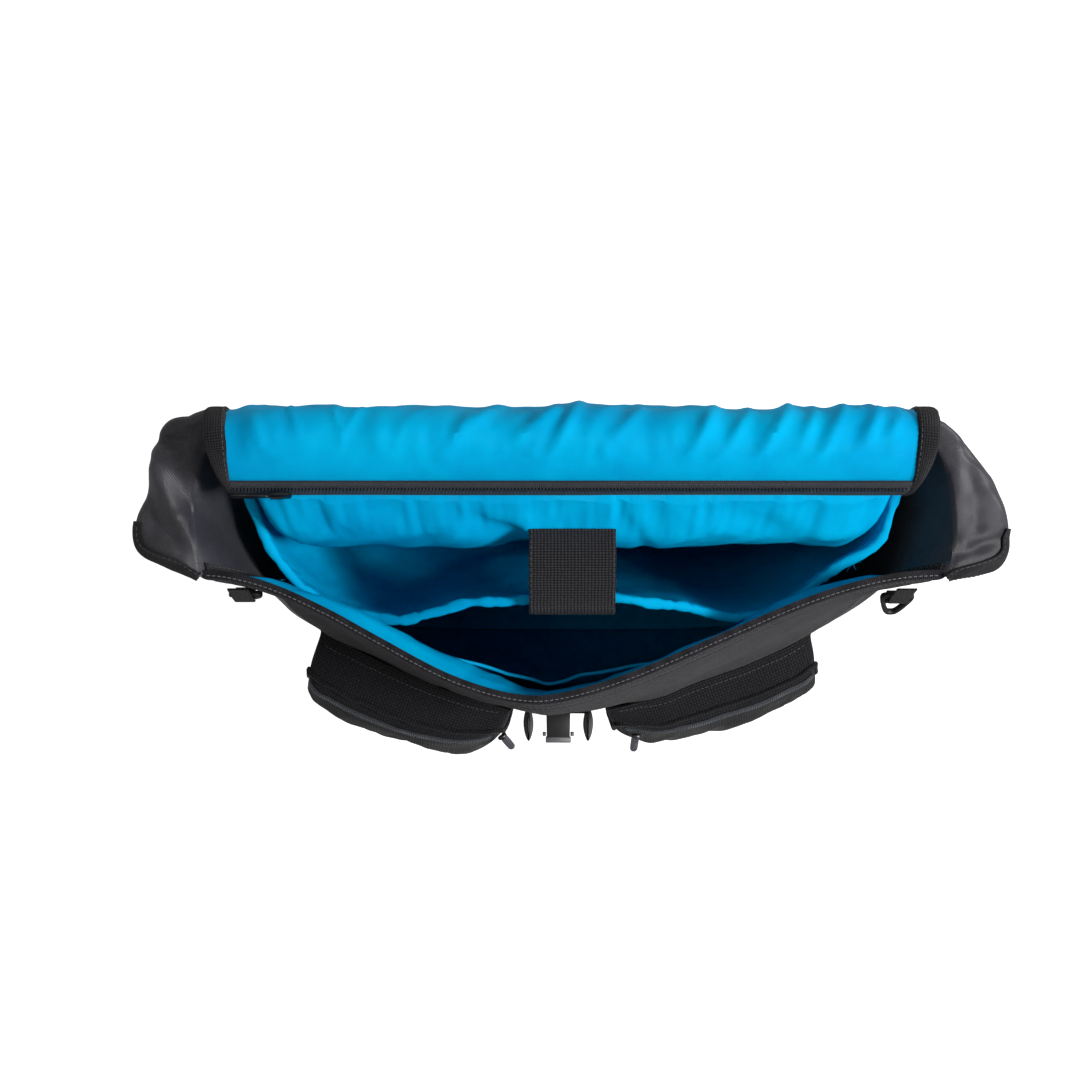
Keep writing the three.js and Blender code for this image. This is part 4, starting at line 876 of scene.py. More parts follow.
@dataclass
class Body:
    """The bag's walls: one surface round the bag, in sections from base to rim.

    q runs right round: 0 the front's middle, 1 the front seam, 2 the back seam, 3 the back's
    middle, negative on the left. v is the height as a share; past 1 it is the collar.
    """

    height: float = 318
    front: tuple[float, ...] = (-58, -100, -87, -77)
    seam_out: tuple[float, ...] = (150, 163, 178, 211)
    seam_y: tuple[float, ...] = (-54, -42, -15, -6)
    side: tuple[float, ...] = (170, 190, 204, 216)
    back_seam_out: tuple[float, ...] = (158, 184, 192, 203)
    back_seam_y: tuple[float, ...] = (56, 58, 62, 72)
    back: tuple[float, ...] = (58, 60, 60, 60)
    centre: tuple[float, ...] = (0, -8, -15, -20)
    bow: tuple[float, ...] = (6, 1.5, 1.5, 1.5)
    pointed: tuple[float, ...] = (0, 0, 0.5, 1)
    left_dent: float = 3
    right_lead: float = 0.88
    collar_reach: float = 32
    collar_drop: float = 20
    woven: float = 2
    coated: float = 1.5
    board: float = 5
    lining: float = 1
    floor: float = 3
    webbing: float = 1.8
    noise: Noise = field(default_factory=lambda: Noise(11))

    belly_share = Curve(
        (0, 0), (0.08, 0.28), (0.22, 0.6), (0.44, 0.9), (0.645, 1), (0.78, 0.5), (0.91, 0), (1, 0),
    )
    neck_share = Curve((0, 0), (0.44, 0), (0.645, 0), (0.78, 0.5), (0.91, 1), (1, 0))
    rim_share = Curve((0, 0), (0.645, 0), (0.78, 0), (0.91, 0), (1, 1))
    collar_right = Curve(
        (0, 0.15), (0.08, 0.45), (0.18, 0.82), (0.35, 1), (0.6, 0.85), (0.8, 0.55), (1, 0.35),
    )
    collar_left = Curve(
        (0, 0.15), (0.08, 0.5), (0.18, 0.92), (0.35, 1.08), (0.6, 0.8), (0.8, 0.6), (1, 0.45),
    )
    left_out = Curve((0, 0), (0.1, -1), (0.25, -1), (0.5, 0), (0.75, 6), (0.9, 7), (1, 0))
    left_back = Curve((0, 0), (0.08, 4), (0.16, 7), (0.3, 5), (0.5, 5), (0.75, 7), (0.9, 8), (1, 2))
    collar_out = Curve((0, 0), (0.2, 0.22), (0.45, 0.6), (0.7, 0.92), (0.85, 1), (1, 0.97))
    collar_down = Curve((0, 0), (0.2, -0.1), (0.45, -0.02), (0.7, 0.3), (0.85, 0.65), (1, 1))

    @property
    def foot(self) -> float:
        """Share of the height at which the walls stand on the base."""
        return (self.floor + GAP) / self.height

    def section(self, v: Array) -> dict[str, Array]:
        """Sizes of the section at each height: base, belly, neck and rim mixed by their shares."""
        belly, neck, rim = self.belly_share(v), self.neck_share(v), self.rim_share(v)
        shares = (1 - belly - neck - rim, belly, neck, rim)
        keys = (
            "front", "seam_out", "seam_y", "side", "back_seam_out", "back_seam_y", "back",
            "centre", "bow", "pointed",
        )
        sizes = {k: sum(s * size for s, size in zip(shares, getattr(self, k))) for k in keys}
        return sizes | {"rim": rim}

    def plain(self, q: Array, v: Array) -> Array:
        """A point of the body's outside, without folds.

        The front runs from its middle to its seam, drawn out to a point at the rim; the side is
        a cubic Bezier arc; the back is nearly flat, its ends leaning back by the fourth power.
        """
        q, v = paired(q, v)
        turned = np.where(q > 3, q - 6, np.where(q < -3, q + 6, q))
        side = np.where(turned < 0, -1.0, 1.0)
        t = np.abs(turned)
        s = self.section(v)
        z = v * self.height
        # front
        lead = np.where(side < 0, 1.0, self.right_lead)
        f = np.clip(t, 0, 1)
        rise = lerp(f ** s["bow"], smooth(f**lead), s["pointed"])
        x = lerp(s["centre"], side * s["seam_out"], f)
        front = stack(x, lerp(s["front"], s["seam_y"], rise), z)
        # side
        handle = (8 * s["side"] - s["seam_out"] - s["back_seam_out"]) / 6
        dent = np.where(side < 0, self.left_dent * s["rim"], 0)
        depth = s["back_seam_y"] - s["seam_y"]
        g = np.clip(t - 1, 0, 1)
        weights = ((1 - g) ** 3, 3 * g * (1 - g) ** 2, 3 * g * g * (1 - g), g**3)
        xs = (s["seam_out"], handle - dent, handle + 0.3 * dent, s["back_seam_out"])
        ys = (s["seam_y"], s["seam_y"] + 0.14 * depth, s["back_seam_y"] - 0.2 * depth, s["back_seam_y"])
        x, y = (sum(w * value for w, value in zip(weights, values)) for values in (xs, ys))
        flank = stack(side * x, y, z)
        # back
        u = 3 - np.clip(t, 2, 3)
        rear = stack(side * s["back_seam_out"] * u, lerp(s["back"], s["back_seam_y"], u**4), z)
        return np.where((t <= 1)[..., None], front, np.where((t <= 2)[..., None], flank, rear))

    def plain_normal(self, q: Array, v: Array) -> Array:
        """Outward normal of the plain body, from differences."""
        q, v = np.asarray(q, float), np.asarray(v, float)
        across = self.plain(q + 0.03, v) - self.plain(q - 0.03, v)
        up = self.plain(q, np.minimum(v + 0.02, 1)) - self.plain(q, np.maximum(v - 0.02, 0))
        return unit(np.cross(across, up))

    def collared(self, q: Array, r: Array) -> Array:
        """A point of a gusset's outside; past r = 1 it is the collar, folded outwards and down."""
        q, r = paired(q, r)
        base = self.plain(q, np.minimum(r, 1))
        out = level(self.plain_normal(q, np.ones_like(r)))
        k = np.clip(r - 1, 0, 1)
        t = np.abs(q) - 1
        size = np.where(q < 0, self.collar_left(t), self.collar_right(t))
        size = size * ramp(-0.04, 0.1, t)
        sideways = stack(np.where(q < 0, -1.0, 1.0), 0, 0)
        out = unit(lerp(sideways, out, ramp(0.0, 0.3, t)[..., None]))
        reach = self.collar_reach * size * self.collar_out(k)
        drop = self.collar_drop * np.minimum(size, 1) * self.collar_down(k)
        left = np.where(q < 0, 1.0, 0.0) * self.collar_out(k)
        drawn = stack(-self.left_out(t) * left, self.left_back(t) * left, -drop)
        return base + out * reach[..., None] + drawn

    def collar_normal(self, q: Array, r: Array) -> Array:
        """Outward normal of a gusset and its collar, from differences."""
        q, r = paired(q, r)
        across = self.collared(q + 0.03, r) - self.collared(q - 0.03, r)
        up = self.collared(q, np.minimum(r + 0.02, 2)) - self.collared(q, np.maximum(r - 0.02, 0))
        return unit(np.cross(across, up))


COLLAR_CREASES = crease_rows(
    # right: the point where the collar folds over, and what runs out from it
    (221, 8, 246, 17, 4.0, 3.2),
    (221, 8, 198, 1, 4.0, 1.8),
    (221, 8, 216, 48, 6.0, -3.0),
    (229, 24, 222, 66, 5.0, 2.6),
    (222, 68, 236, 54, 3.0, 2.4),
    (236, 40, 243, 22, 4.0, -1.8),
    # left: the pinch near the back, the long valley and its two ridges
    (-240, 72, -221, 71, 3.0, 2.8),
    (-240, 65, -224, 63, 3.5, -2.6),
    (-236, 56, -222, 27, 5.0, -3.4),
    (-222, 27, -213, 7, 4.0, -3.0),
    (-245, 50, -236, 20, 5.5, 2.8),
    (-223, 52, -208, 22, 5.0, 2.6),
)
PANEL_CREASES = crease_rows(
    (-170, -40, -95, -85, 6.0, 1.6),
    (-150, -58, -70, -92, 5.0, -1.4),
    (60, -78, 150, -40, 7.0, 1.3),
    (150, -46, 176, -24, 4.0, -1.8),
    (-40, -90, 0, -84, 6.0, 1.2),
)
LINING_CREASES = crease_rows(
    (-52, -66, -12, -58, 7.0, 1.6),
    (-62, -62, -46, -72, 3.5, -1.8),
    (-150, -28, -92, -50, 4.0, 1.2),
    (70, -46, 130, -20, 4.0, 1.0),
)


@dataclass
class Shell:
    """The outside of the body: panels, gussets with their collars, linings and base."""

    body: Body
    hang: float = 10
    front_span: float = 0.9988
    lining_span: float = 0.955
    slip_span: float = 0.44
    slip_top: float = 272
    slip_height: float = 130
    slip_gape: float = 4.5
    rim_roll: float = 2.2
    hem_rows: tuple[float, float, float] = (4.6, 11.5, 14.4)
    back_relief: float = 0.35
    band_wall: float = 1.2

    rim_seam = Seam(2.1, 3.0, 1.5, 0.1)
    roll_seam = Seam(2.3, 3.2, 1.5, 0.0)
    hem_seam = Seam(2.4, 3.4, 1.5, 0.0)
    low_hem_seam = Seam(2.4, 3.4, 1.5, 0.1, 0.45)
    back_seam = Seam(2.4, 3.4, 2, 0.0, 0.55)
    collar_seam = Seam(2.3, 3.3, 1.5, 0.05)
    hang_up = Curve(
        (0, 0), (0.2, 0.05), (0.45, 0.3), (0.7, 0.75), (0.86, 1), (0.92, 0.75), (0.965, 0.3), (0.985, 0),
    )
    hang_across = Curve((0, 1), (0.3, 1), (0.6, 0.3), (0.8, 0.2), (0.965, 0))

    def relief(self, q: Array, v: Array) -> Array:
        """Soft dents of the outer cloth, in millimetres, fading towards seams, base and rim."""
        x, z = q * 200, v * self.body.height
        n = self.body.noise
        inside = np.where(np.abs(q) <= 1, 1 - np.abs(q), 1 - np.abs(3 - np.abs(q)))
        broad = n.layered(x / 90, z / 70, 3) * 2.2
        fine = n.layered(x / 22 + 40, z / 30, 2) * 0.45
        folds = creased(self.body.plain(q, v), PANEL_CREASES) * ramp(0.7, 0.85, v)
        fade = (1 - ramp(0.86, 1.0, v) * 0.75) * ramp(0, 0.06, v) * ramp(0, 0.07, inside)
        return (broad + fine + np.where(np.abs(q) < 1, folds, 0)) * fade

    def panel_grid(self, q: Array, v: Array, depth: Array | float, relief: float = 1.0) -> Array:
        """Points of a panel at a depth inside the outer face, its top and bottom cut level."""
        b = self.body
        q, v = np.meshgrid(q, v)
        n = b.plain_normal(q, v)
        flat = np.maximum(ramp(0.97, 1.0, v), 1 - ramp(0.0, 0.03, v))[..., None]
        n = unit(lerp(n, level(n), flat))
        return b.plain(q, v) + n * (self.relief(q, v) * relief - depth)[..., None]

    def hem(self, v: Array) -> Array:
        """Extra thickness of the turned hem below the rim, with a groove along its stitching."""
        below = (1 - v) * self.body.height
        upper, lower, _ = self.hem_rows
        turned = 0.9 * (1 - ramp(13.5, 15, below)) - 0.5 * bell(below, lower, 0.9)
        return turned - 0.4 * bell(below, upper, 0.7) - 0.7 * bell(below, 0, 1.2)

    def front(self) -> None:
        """Front panel: woven cloth with a turned hem, rolled over at its top edge, and its stitching."""
        b = self.body
        q = np.linspace(-self.front_span, self.front_span, 170)
        v = paced((b.foot, 0.93, 46), (0.935, 1, 36))
        hem = self.hem(v)[:, None] + np.zeros_like(q)
        roll = self.rim_roll * ramp(0.9865, 0.991, v)[:, None] + np.zeros_like(q)
        outer = self.panel_grid(q, v, -hem)
        inner = self.panel_grid(q, v, b.woven + roll)
        outer[-1, :, 2] -= 0.5
        inner[-1, :, 2] -= 0.5
        piece = shell(outer, inner).make("front_cloth", WOVEN, "woven", "front_panel")
        qs = np.linspace(-0.985, 0.985, 500)
        top = self.panel_grid(qs, np.array([1.0]), 0.9)[0] + np.array([0, 0, -0.2])
        upper, lower, lowest = self.hem_rows
        rows = self.rim_seam.along(Line(top, np.tile([0, 0, 1.0], (len(qs), 1))))
        rows = rows.joined(self.roll_seam.along(self.rim_line(upper, qs)))
        rows.make("rim_stitches", DULL_THREAD, "woven")
        low = self.hem_seam.along(self.rim_line(lower, qs))
        left = self.low_hem_seam.along(self.rim_line(lowest, np.linspace(-0.985, -0.35, 200)))
        low.joined(left).make("hem_stitches", DULL_THREAD, "woven")

    def rim_line(self, below: float, qs: Array) -> Line:
        """A line on the front panel at a distance below its rim."""
        v = 1 - below / self.body.height
        points = self.panel_grid(qs, np.array([v]), -self.hem(np.array([v]))[0])[0]
        return Line(points, self.body.plain_normal(qs, np.full_like(qs, v)))

    def back(self) -> None:
        """Back panel: cloth over a stiff board, with a stitched frame."""
        b = self.body
        q = np.linspace(2.003, 3.997, 80)
        v = np.linspace(b.foot, 1, 50)
        outer, inner = (self.panel_grid(q, v, depth, self.back_relief) for depth in (0.0, b.board))
        piece = shell(outer, inner).make("back_cloth", WOVEN, "woven", "back_panel")
        turn = np.linspace(0, 2 * np.pi, 900)
        c, s = np.cos(turn), np.sin(turn)
        qs = 3 + 0.93 * np.sign(c) * abs(c) ** 0.18
        vs = 0.5 + 0.455 * np.sign(s) * abs(s) ** 0.18
        n = b.plain_normal(qs, vs)
        points = b.plain(qs, vs) + n * (self.relief(qs, vs) * self.back_relief)[:, None]
        self.back_seam.along(Line(points, n)).make("back_stitches", DULL_THREAD, "woven")

    def gusset_relief(self, q: Array, r: Array) -> Array:
        """Folds of a gusset: soft dents below, and creases of the collar, in millimetres."""
        x, z = q * 90, r * self.body.height
        n = self.body.noise
        low = n.layered(x / 40 + 7, z / 80 + 3, 3) * 3.0 * (1 - ramp(0.8, 1.0, r)) * ramp(0, 0.08, r)
        rim = 1 - 0.75 * ramp(1.55, 2.0, r)
        top = n.layered(x / 30 + 31, (r - 1) * 1.2 + 2, 3) * 1.7 * ramp(0.9, 1.15, r) * rim
        fine = n.creases(x / 34 + (r - 1) * 0.7, (r - 1) * 1.6 + 12, 0.12) * 1.1
        fine = fine * ramp(0.85, 1.1, r) * rim
        folds = creased(self.body.collared(q, r), COLLAR_CREASES) * ramp(0.93, 1.05, r) * rim
        return low + top + fine + folds

    def gusset_edge(self, q: Array) -> Array:
        """Share of a gusset's folds that is left towards its two seams."""
        return np.minimum(ramp(1.0, 1.05, abs(q)), 1 - ramp(1.97, 2.0, abs(q)))

    def gusset_grid(self, hand: Hand, t: Array, r: Array, depth: float) -> Array:
        """Points of a gusset and its collar at a depth inside the outer face."""
        b = self.body
        q, r = np.meshgrid(hand.value * t, r) if r.ndim == 1 else (hand.value * t + 0 * r, r)
        n = b.collar_normal(q, r)
        foot = (1 - ramp(0.0, 0.03, r))[..., None]
        n = unit(lerp(n, level(n), foot))
        relief = self.gusset_relief(q, r) * self.gusset_edge(q)
        return b.collared(q, r) + n * (relief - depth)[..., None]

    def layer(self, hand: Hand, t: Array, r: Array, outer: float, inner: float) -> Mesh:
        """Closed cloth on a gusset between two depths."""
        return shell(self.gusset_grid(hand, t, r, outer), self.gusset_grid(hand, t, r, inner))

    def gusset(self, hand: Hand) -> None:
        """A gusset with its collar, the band on the collar's corner and the tape over the seam."""
        b = self.body
        name = hand.label
        t = np.linspace(1.003, 1.996, 96)
        r = paced((b.foot, 0.9, 30), (0.91, 2, 84))
        cloth = self.layer(hand, t, r, 0, b.coated)
        piece = cloth.make(f"gusset_cloth_{name}", COATED, "coated", f"gusset_{name}")
        near, far = b.coated + GAP, b.coated + GAP + self.band_wall
        t, r = np.linspace(1.045, 1.36, 50), np.linspace(1.3, 1.97, 40)
        under = self.layer(hand, t, r, -GAP - self.band_wall, -GAP)
        t = np.linspace(1.01, 1.4, 60)
        r = lerp(self.band_start(t)[None], 1.99, np.linspace(0, 1, 30)[:, None])
        band = under.joined(self.layer(hand, t, r, near, far))
        band.make(f"corner_webbing_{name}", EDGE_TAPE, "woven", f"corner_band_{name}")
        tape = self.layer(hand, np.linspace(1.06, 1.17, 14), np.linspace(0.85, 0.99, 40), near, far)
        tape.make(f"seam_binding_{name}", EDGE_TAPE, "webbing", f"seam_tape_{name}")
        rows = [self.collar_row(hand, np.linspace(1.4, 1.97, 200), np.full(200, 1.955), -0.1)]
        t = np.linspace(1.03, 1.38, 120)
        for share in (0.08, 0.92):
            rows.append(self.collar_row(hand, t, lerp(self.band_start(t), 1.99, share), far + 0.05))
        r = np.linspace(0.855, 0.985, 90)
        for place in (1.075, 1.155):
            rows.append(self.collar_row(hand, np.full(90, place), r, far + 0.05))
        merged(rows).make(f"collar_stitches_{name}", DARK_THREAD, "coated")

    def band_start(self, t: Array) -> Array:
        """Where the band starts on the collar, so that it stays about as wide round the corner."""
        return lerp(1.1, 1.62, ramp(1.05, 1.32, t))

    def collar_row(self, hand: Hand, ts: Array, rs: Array, depth: float) -> Mesh:
        """Stitches along a line of the gusset, at a depth inside its outer face."""
        b = self.body
        q = hand.value * ts
        n = b.collar_normal(q, rs)
        relief = self.gusset_relief(q, rs) * self.gusset_edge(q)
        points = b.collared(q, rs) + n * (relief - depth)[:, None]
        facing = hand.value if depth < 0 else -hand.value
        return self.collar_seam.along(Line(points, n * facing))

    def lining_depth(self, q: Array, v: Array) -> Array:
        """How far inside the front's outer face the lining lies: it hangs straight from the rim."""
        return self.body.woven + GAP + self.hang * self.hang_up(v) * self.hang_across(np.abs(q))

    def front_lining(self) -> None:
        """Blue lining inside the front, crumpled inwards only."""
        b = self.body
        n = self.body.noise
        q = np.linspace(-self.lining_span, self.lining_span, 150)
        v = paced((b.foot, 0.8, 30), (0.806, 0.986, 56))
        qq, vv = np.meshgrid(q, v)
        x, z = qq * 200, vv * b.height
        free = ramp(0.99, 0.955, vv) * ramp(0.0, 0.05, vv)
        free = free * (1 - ramp(0.9, self.lining_span, abs(qq)))
        folds = (n.layered(x / 45 + 60, z / 60 + 5, 3) * 0.5 + 0.6) * 2.2
        folds = folds + n.creases(x / 30, z / 55, 0.1) + creased(b.plain(qq, vv), LINING_CREASES)
        under = (1 - ramp(0.83, 0.87, vv)) * (1 - ramp(0.42, 0.5, abs(qq)))
        loose = bell(vv, 0.935, 0.04) * (5.0 * bell(qq, -0.6, 0.3) + 6.0 * bell(qq, 0.76, 0.2))
        sag = np.maximum(folds + loose, 0) * free * (1 - 0.6 * under)
        depth = self.lining_depth(qq, vv) + 1.4 * ramp(0.8, 0.93, abs(qq))
        outer = self.panel_grid(q, v, depth)
        inner = self.panel_grid(q, v, depth + b.lining + sag)
        piece = shell(outer, inner).make("front_lining_cloth", LINING, "lining", "front_lining")

    def slip_pocket(self) -> None:
        """Slip pocket on the front lining, its mouth gaping, with a turned hem."""
        b = self.body
        n = self.body.noise
        q = np.linspace(-self.slip_span, self.slip_span, 80)
        v = np.linspace((self.slip_top - self.slip_height) / b.height, self.slip_top / b.height, 40)
        qq, vv = np.meshgrid(q, v)
        up = np.clip((vv * b.height - self.slip_top) / self.slip_height + 1, 0, 1)
        loose = 1 - (qq / self.slip_span) ** 2
        soft = (n.layered(qq * 7, up * 3, 2) * 0.8 + 0.9) * loose * smooth(up)
        stand = self.slip_gape * smooth(up) * loose + soft
        hem = 0.7 * ramp(0.93, 0.945, up)
        depth = self.lining_depth(qq, vv) + b.lining + GAP + 1.4 * (1 - up) * loose + stand
        outer = self.panel_grid(q, v, depth)
        inner = self.panel_grid(q, v, depth + b.lining + hem)
        piece = shell(outer, inner).make("slip_pocket_cloth", LINING, "lining", "slip_pocket")

    def base(self) -> None:
        """Base of cloth over board, and the lining on it: discs from the outline to the middle."""
        b = self.body
        q = np.linspace(-3, 3, 160, endpoint=False)
        rim = b.plain(q, np.full_like(q, b.foot))
        out = level(b.plain_normal(q, np.full_like(q, b.foot)))
        rings = paced((0.02, 0.9, 24), (0.92, 1, 8))[:, None, None]

        def disc(inset: Array, low: float, high: float, crumple: float) -> Mesh:
            """A rounded disc with its edge set in, between two heights."""
            edge = (rim - out * inset[:, None]) * np.array([1, 1, 0])
            grid = edge[None] * rings
            soft = b.noise.layered(grid[..., 0] / 30, grid[..., 1] / 30, 3) * crumple
            soft = soft * (1 - rings[..., 0] ** 6)
            near = (np.clip(rings[..., 0], 0.97, 1) - 0.97) / 0.03
            rounding = (1 - np.sqrt(np.clip(1 - near**2, 0, 1))) * (high - low) * 0.35
            top = grid + stack(0, 0, high - rounding + soft)
            bottom = grid + stack(0, 0, low + rounding)
            return ringed(np.concatenate([bottom, top[::-1]]))

        board = disc(np.zeros_like(q), 0.0, b.floor, 0.0)
        board.make("base_cloth", WOVEN, "woven", "base_panel")
        inset = np.where(np.abs(q) < 1, b.woven + b.lining + 2 * GAP, b.board + GAP) + 0.3
        low = b.floor + GAP
        sheet = disc(inset, low, low + b.lining, 0.3)
        piece = sheet.make("base_lining_cloth", LINING, "lining", "base_lining")


# ---------------- laptop sleeve

PAD_CREASES = crease_rows(
    (-75, 35, -24, 12, 6.0, -3.6),
    (-40, 33, -10, 15, 6.0, 2.6),
    (-135, 34, -95, 18, 8.0, 2.2),
    (-186, 34, -160, 20, 6.0, 1.4),
    (28, 30, 44, 12, 5.0, -2.0),
    (38, 16, 85, 26, 6.0, 2.0),
    (95, 30, 148, 11, 7.0, -2.6),
    (130, 14, 180, 33, 8.0, 3.0),
    (60, 32, 92, 22, 5.0, 1.6),
)


@dataclass
class Sleeve:
    """Laptop sleeve: a padded back wall, a divider with a rolled hem and a webbing strap."""

    body: Body
    share: float = 0.92
    bulge: float = 42
    top: float = 297
    top_half: float = 190
    floor_half: float = 146
    dip: float = 28
    top_forward: float = 25
    floor_behind: float = 12
    back_end: float = 44
    hem: float = 3
    wall: float = 4
    strap_width: float = 50
    strap_arch: float = 14
    strap_tail: float = 20
    strap_spring: float = 3.5
    strap_sewn: float = 0.965
    noise: Noise = field(default_factory=lambda: Noise(23))

    hem_seam = Seam(2.0, 3.0, 2, 0.25, 0.45)
    strap_seam = Seam(2.2, 3.2, 1.5, 0.05)
    pad_up = Curve((0, 0.22), (0.3, 0.38), (0.6, 0.68), (0.8, 0.95), (0.89, 1), (0.95, 0.85), (1, 0.42))
    plan_rows = (
        (-1, -1, 0, 0, -1, 0.1),
        (-0.9, -0.935, 0.49, 0.3, -0.97, 0.7),
        (-0.78, -0.83, 0.85, 0.75, -0.85, 0.96),
        (-0.62, -0.7, 1.05, 1, -0.68, 1),
        (-0.47, -0.53, 1.1, 0.7, -0.5, 1),
        (-0.3, -0.34, 0.96, 0.3, -0.3, 1),
        (0, 0, 0.9, 0, 0, 1),
        (0.3, 0.33, 1, 0.1, 0.3, 1),
        (0.47, 0.52, 1.07, 0.35, 0.5, 1),
        (0.62, 0.68, 0.957, 0.55, 0.68, 1),
        (0.78, 0.83, 0.66, 0.3, 0.85, 0.96),
        (0.9, 0.955, 0.395, 0.1, 0.97, 0.7),
        (1, 1, 0, 0, 1, 0.1),
    )

    @property
    def foot(self) -> float:
        """Height at which the sleeve stands on the lining."""
        return self.body.floor + self.body.lining + 2 * GAP

    def pad_thickness(self, q: Array, up: Array) -> Array:
        """Thickness of the padded wall: a curve up it, thinner close to both sides."""
        u = np.clip(abs(3 - q) / self.share, 0, 1)
        return self.bulge * self.pad_up(up) * lerp(0.2, 1, 1 - u**30)

    def plan(self, column: int, a: Array) -> Array:
        """One column of the divider's plan across it."""
        return Curve(*((row[0], row[column]) for row in self.plan_rows))(a)

    def divider_point(self, a: Array, up: Array) -> Array:
        """A point midway through the divider: a from -1 to 1 across, up from foot to top."""
        opened = smooth(up) * 0.6 + up * 0.4
        x = lerp(self.floor_half * self.plan(4, a), self.top_half * self.plan(1, a), opened)
        low = self.back_end - (self.back_end - self.floor_behind) * self.plan(5, a)
        high = self.back_end - (self.back_end + self.top_forward) * self.plan(2, a)
        y = lerp(low, high, opened)
        z = lerp(self.foot, self.top - self.dip * self.plan(3, a), up)
        return stack(x, y, z)

    def divider_normal(self, a: Array, up: Array) -> Array:
        """Level normal of the divider, towards the front."""
        a = np.clip(a, -0.99, 0.99)
        across = self.divider_point(a + 0.01, up) - self.divider_point(a - 0.01, up)
        return level(stack(across[..., 1], -across[..., 0], 0))

    def pad(self) -> None:
        """Padded back wall: swells between its seams, puckered where the zip gathers it."""
        b = self.body
        q = np.linspace(3 - self.share, 3 + self.share, 250)
        v = paced((self.foot / b.height, 0.8, 34), (0.81, 1, 58))
        qq, vv = np.meshgrid(q, v)
        out = abs(3 - qq) / self.share
        up = (vv - v[0]) / (1 - v[0])
        x = (3 - qq) * 200
        n = self.noise
        level_n = level(b.plain_normal(qq, vv))
        base = b.plain(qq, vv) - level_n * (b.board + GAP)
        leaning = base[..., 1] - b.section(vv)["back"] + b.board + GAP
        thick = self.pad_thickness(qq, up) + leaning * 0.9 * (1 - ramp(0.86, 1.0, out))
        gather = n(x / 4.4, up * 16) * 1.1 + n(x / 9.5, up * 12 + 8) * 1.5
        rise = vv * b.height
        folds = n.creases((x * 0.7 - rise) / 26, (x + rise * 0.7) / 90, 0.1) * 1.5
        folds = n.layered(x / 55, up * 6 + 3, 2) * 1.5 + folds
        drawn = creased(base - level_n * thick[..., None], PAD_CREASES) * 1.5 * ramp(0.6, 0.85, up)
        edge = ramp(0, 0.03, up) * (1 - ramp(0.94, 1.0, out))
        gathered = gather * ramp(0.93, 0.975, up) * ramp(1.02, 0.985, up)
        relief = gathered + (folds + drawn) * (1 - ramp(0.93, 1, up) * 0.7)
        thickness = np.maximum(thick + relief * edge, 1.0)
        pad = shell(base, base - level_n * thickness[..., None])
        piece = pad.make("sleeve_pad", LINING, "lining", "sleeve_back")

    def divider(self) -> None:
        """Divider wall with a puckered hem: its section runs up one face, over and down the other."""
        a = np.linspace(-1, 1, 360)
        half = self.wall / 2
        rise = paced((0, 0.86, 20), (0.87, 0.952, 12))
        turn = np.radians(np.linspace(0, 180, 11))
        length = self.top - self.foot
        n = self.noise
        fold = self.hem * 0.62
        hem_up = 1 - fold / length
        low_hem = np.array([0.958, 0.964, 0.975])
        swell = self.hem * np.array([0.55, 0.9, 1])
        wall = np.full_like(rise, half)
        sides = np.concatenate([wall, swell, fold * 1.5 * np.cos(turn), -swell[::-1], -wall])
        over = hem_up + fold * np.sin(turn) / length
        ups = np.concatenate([rise, low_hem, over, low_hem[::-1], rise[::-1]])
        in_hem = np.concatenate([np.zeros_like(rise), np.ones(len(turn) + 6), np.zeros_like(rise)])
        aa, uu = np.meshgrid(a, ups, indexing="ij")
        x = aa * 200
        pucker = 1 + (n(x / 3.0, uu * 30) * 0.2 + n(x / 9, uu * 12 + 5) * 0.12) * in_hem
        wave = n.layered(x / 56 + 9, uu * 4, 2) * 1.7 * ramp(0.0, 0.1, uu)
        wave = wave + n.creases(x / 26 + 30, uu * 6, 0.15) * 0.8 * ramp(0.5, 0.95, uu)
        flutter = n.layered(x / 16 + 70, aa * 0 + 2, 1) * 0.7 * ramp(0.8, 1, uu)
        normal = self.divider_normal(aa, np.clip(uu, 0, 1))
        ends = 1 - ramp(0.93, 1.0, abs(aa))
        shift = sides[None] * pucker + (wave + flutter) * ends
        grid = self.divider_point(aa, np.minimum(uu, 1.0)) + normal * shift[..., None]
        ripple = n(x / 6 + 3, aa * 0 + 11) * 0.4 * ramp(0.97, 1, uu)
        grid[..., 2] += (uu - np.minimum(uu, 1.0)) * length + ripple
        places = cloth_places(grid).reshape(-1, 2)[:, ::-1]
        mesh = Mesh(grid.reshape(-1, 3), capped(*grid.shape[:2]), places)
        piece = mesh.make("sleeve_wall", LINING, "lining", "sleeve_divider")
        row = int(np.argmin(abs(ups - 0.96)))
        known, at = np.arange(len(a)), np.linspace(8, len(a) - 9, 700)
        line = Line(picked(grid[:, row], known, at), picked(normal[:, row], known, at))
        self.hem_seam.along(line).make("sleeve_hem_stitches", BLUE_THREAD, "lining")
        ends = (slice(30, 33), slice(-34, -31))
        self.frays([Line(grid[end, row], normal[end, row]) for end in ends])

    def frays(self, places: Sequence[Line]) -> None:
        """Loose ends of thread at both corners of the divider's hem: short curling tails."""
        random = np.random.default_rng(5)
        tails = []
        for place in places:
            for _ in range(7):
                start = place.points[1] + random.normal(0, 0.7, 3)
                aim = unit(place.normals[1] * 1.0 + random.normal(0, 0.7, 3) + np.array([0, 0, 0.5]))
                bend = random.normal(0, 0.6, 3)
                u = np.linspace(0, 1, 7)[:, None]
                path = start + aim * u * random.uniform(4.0, 8.0) + bend * u**2 * 3
                tails.append(sweep(path, np.tile([0.3, 0.2, 1.0], (7, 1)), oval(0.4, 0.4, 5)))
        merged(tails).make("sleeve_frays", BLUE_THREAD, "lining")

